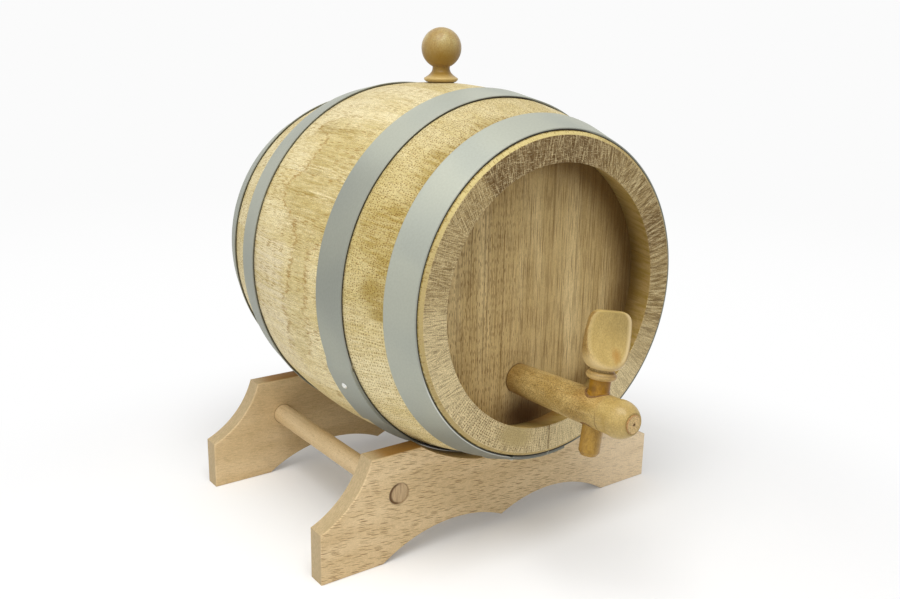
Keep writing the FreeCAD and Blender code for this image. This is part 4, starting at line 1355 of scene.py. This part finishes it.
def makePlate(node, outerSide):
    # rows of the outline from one face to the other, drawn in along the eased arrises; both faces
    # are filled round the dowel holes
    outline, eased = plateOutline(beech["cradleRadius"][node])
    first = leftOf(unit(outline - np.roll(outline, 1, axis=0)))
    second = leftOf(unit(np.roll(outline, -1, axis=0) - outline))
    normal = unit(first + second)
    normal /= np.maximum(np.sum(normal * first, axis=1), 0.6)[:, None]
    start, thick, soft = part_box(node)[0].y / mm, beech["plateThickness"], beech["ease"]
    turns = np.radians(np.linspace(0, 90, 6))
    arris, inset = soft * (1 - np.cos(turns)), [soft + 0.7, *soft * (1 - np.sin(turns))]
    depth = np.array([0, *arris, thick / 2, *(thick - arris[::-1]), thick])
    inset = np.array([*inset, 0, *inset[::-1]])
    flat = outline + normal * inset[:, None, None] * eased[:, None]
    rows, columns = flat.shape[:2]
    points = columnsOf(flat[..., 0], start + depth[:, None] + 0 * flat[..., 0], flat[..., 1]).reshape(-1, 3)
    faces = gridFaces(rows, columns).tolist()
    # dowel holes, with an eased mouth on the outer face
    count, hole, mouth = beech["holeSteps"], beech["holeRadius"], beech["mouthEase"]
    spin = np.linspace(0, 2 * np.pi, count, endpoint=False)
    profile = [(hole + mouth + 0.5, 0), (hole + mouth, 0), (hole + mouth * 0.3, mouth * 0.3),
               (hole, mouth), (hole, thick * 0.5), (hole, thick - 0.01), (hole, thick)]
    outerFace = start if outerSide < 0 else start + thick
    holeLoops = []
    for side in (-1, 1):
        base, last = len(points), len(points) + (len(profile) - 1) * count
        rings = [columnsOf(side * beech["stretcherOffset"] + radius * np.cos(spin),
                           0 * spin + outerFace - outerSide * inside,
                           beech["stretcherHeight"] + radius * np.sin(spin)) for radius, inside in profile]
        points = np.concatenate([points, *rings])
        faces += (gridFaces(len(profile), count) + base).tolist()
        loops = [list(range(base, base + count)), list(range(last, last + count))]
        holeLoops.append(loops if outerSide < 0 else loops[::-1])
    for rim, pick in ((0, 0), ((rows - 1) * columns, 1)):
        loops = [list(range(rim, rim + columns)), holeLoops[0][pick], holeLoops[1][pick]]
        indices = sum(loops, [])
        outlines = [[Vector(points[i]) for i in loop] for loop in loops]
        faces += [[indices[i] for i in triangle] for triangle in tessellate_polygon(outlines)]
    piece = buildPiece(node + "_board", points, faces, [plateBeech], sharpAngle=34)
    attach(piece, "stand")
    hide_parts(node)


def dress(names, material):
    for name in names:
        nodes[name].data.materials.clear()
        nodes[name].data.materials.append(material)


makePlate("front_cradle", -1)
makePlate("rear_cradle", 1)
dress(["left_stretcher", "right_stretcher", "front_head_pins", "rear_head_pins"], dowelBeech)
dress([f"{end}_head_{board}" for end in ("front", "rear") for board in ("left", "middle", "right")], headOak)
dress(["tap_body"], tapBeech)
dress(["tap_end_plug"], plugBeech)
dress(["tap_cork_sleeve"], corkSleeve)
dress(["hoop_rivets"], rivetSteel)
print("stage: stand made and CAD nodes finished")


# floor, light and camera

studio = {
    "floorSize": 4000,
    "floorSteps": 9,
    "floorColour": 0.955,
    "background": 0.965,
    "floorClear": (200, 400),
    "floorFade": (0.5, 1.6),
    "shadowMiddle": (-40, -40),
    "farFloor": 1,
    "skyStrength": 0.41,
    "shadowLift": 0.16,
    "key": {"azimuth": -40, "elevation": 66, "distance": 1100, "size": 800, "power": 11},
    "fill": {"azimuth": -75, "elevation": 30, "distance": 1300, "size": 1000, "power": 2.6},
}


def grey(tone):
    return (tone, tone, tone, 1)


def makeFloor():
    # a level sheet that takes the shadow and turns to the plain background away from it
    half, count = studio["floorSize"] / 2, studio["floorSteps"]
    steps = np.linspace(-half, half, count)
    x, y = np.meshgrid(steps, steps, indexing="ij")
    points = columnsOf(x, y + cask["length"] / 5, 0 * x).reshape(-1, 3)
    material = bpy.data.materials.new("paleFloor")
    openTree(material)
    across, along, _ = split(put("TexCoord", result="Object"))
    span = spot(across, along, [mm * c for c in studio["shadowMiddle"]], (1, 1))
    tint = mix(ease(span, *studio["floorFade"]), grey(studio["farFloor"]), grey(studio["background"]))
    low, high = studio["floorClear"]
    clear = larger(ease(span, low * mm, high * mm), studio["shadowLift"])
    seen = clear * put("LightPath", result="Is Camera Ray")
    blend = put("MixShader", {0: seen, 1: put("BsdfDiffuse", {"Color": grey(studio["floorColour"])}),
                              2: put("Emission", {"Color": tint, "Strength": 1})})
    addNode("OutputMaterial", {"Surface": blend})
    mesh = bpy.data.meshes.new("floor")
    mesh.from_pydata((points * mm).tolist(), [], gridFaces(count, count, wrap=False).tolist())
    mesh.materials.append(material)
    floor = addObject("floor", mesh)


def makeSky():
    world = bpy.data.worlds.new("studio")
    bpy.context.scene.world = world
    openTree(world)
    camera, through, glossy = [put("LightPath", result=f"Is {ray} Ray")
                               for ray in ("Camera", "Transmission", "Glossy")]
    ambient, white = [put("Background", {"Color": grey(1), "Strength": studio[name]})
                      for name in ("skyStrength", "background")]
    seen = larger(larger(camera, through), glossy)
    addNode("OutputWorld", {"Surface": put("MixShader", {0: seen, 1: ambient, 2: white})})


def directionOf(azimuth, elevation):
    a, e = math.radians(azimuth), math.radians(elevation)
    return Vector((math.sin(a) * math.cos(e), -math.cos(a) * math.cos(e), math.sin(e)))


def makeSoftbox(name, values):
    lamp = bpy.data.lights.new(name, "AREA")
    lamp.size = values["size"] * mm
    lamp.energy = values["power"]
    box = addObject(name, lamp)
    away = directionOf(values["azimuth"], values["elevation"])
    box.location = (caskCentre + away * values["distance"]) * mm
    box.rotation_euler = away.to_track_quat("Z", "Y").to_euler()


view = {
    "azimuth": -36.357,
    "elevation": 15.028,
    "roll": 1.108,
    "target": (15.508, 42.95, 129.816),
    "distance": 657.121,
    "lens": 37.97,
    "sensorWidth": 36,
    "clip": (0.01, 20),
}


def makeCamera():
    back = directionOf(view["azimuth"], view["elevation"])
    right = Vector((0, 0, 1)).cross(back).normalized()
    up = back.cross(right)
    roll = math.radians(view["roll"])
    tiltedRight = right * math.cos(roll) + up * math.sin(roll)
    tiltedUp = up * math.cos(roll) - right * math.sin(roll)
    lens = bpy.data.cameras.new("viewCamera")
    lens.lens = view["lens"]
    lens.sensor_width = view["sensorWidth"]
    lens.clip_start, lens.clip_end = view["clip"]
    camera = addObject("viewCamera", lens)
    matrix = Matrix((tiltedRight, tiltedUp, back)).transposed().to_4x4()
    matrix.translation = (Vector(view["target"]) + back * view["distance"]) * mm
    camera.matrix_world = matrix
    bpy.context.scene.camera = camera


makeFloor()
makeSky()
makeSoftbox("keyLight", studio["key"])
makeSoftbox("fillLight", studio["fill"])
makeCamera()
bpy.context.scene.view_settings.view_transform = "Standard"
print("stage: studio made")
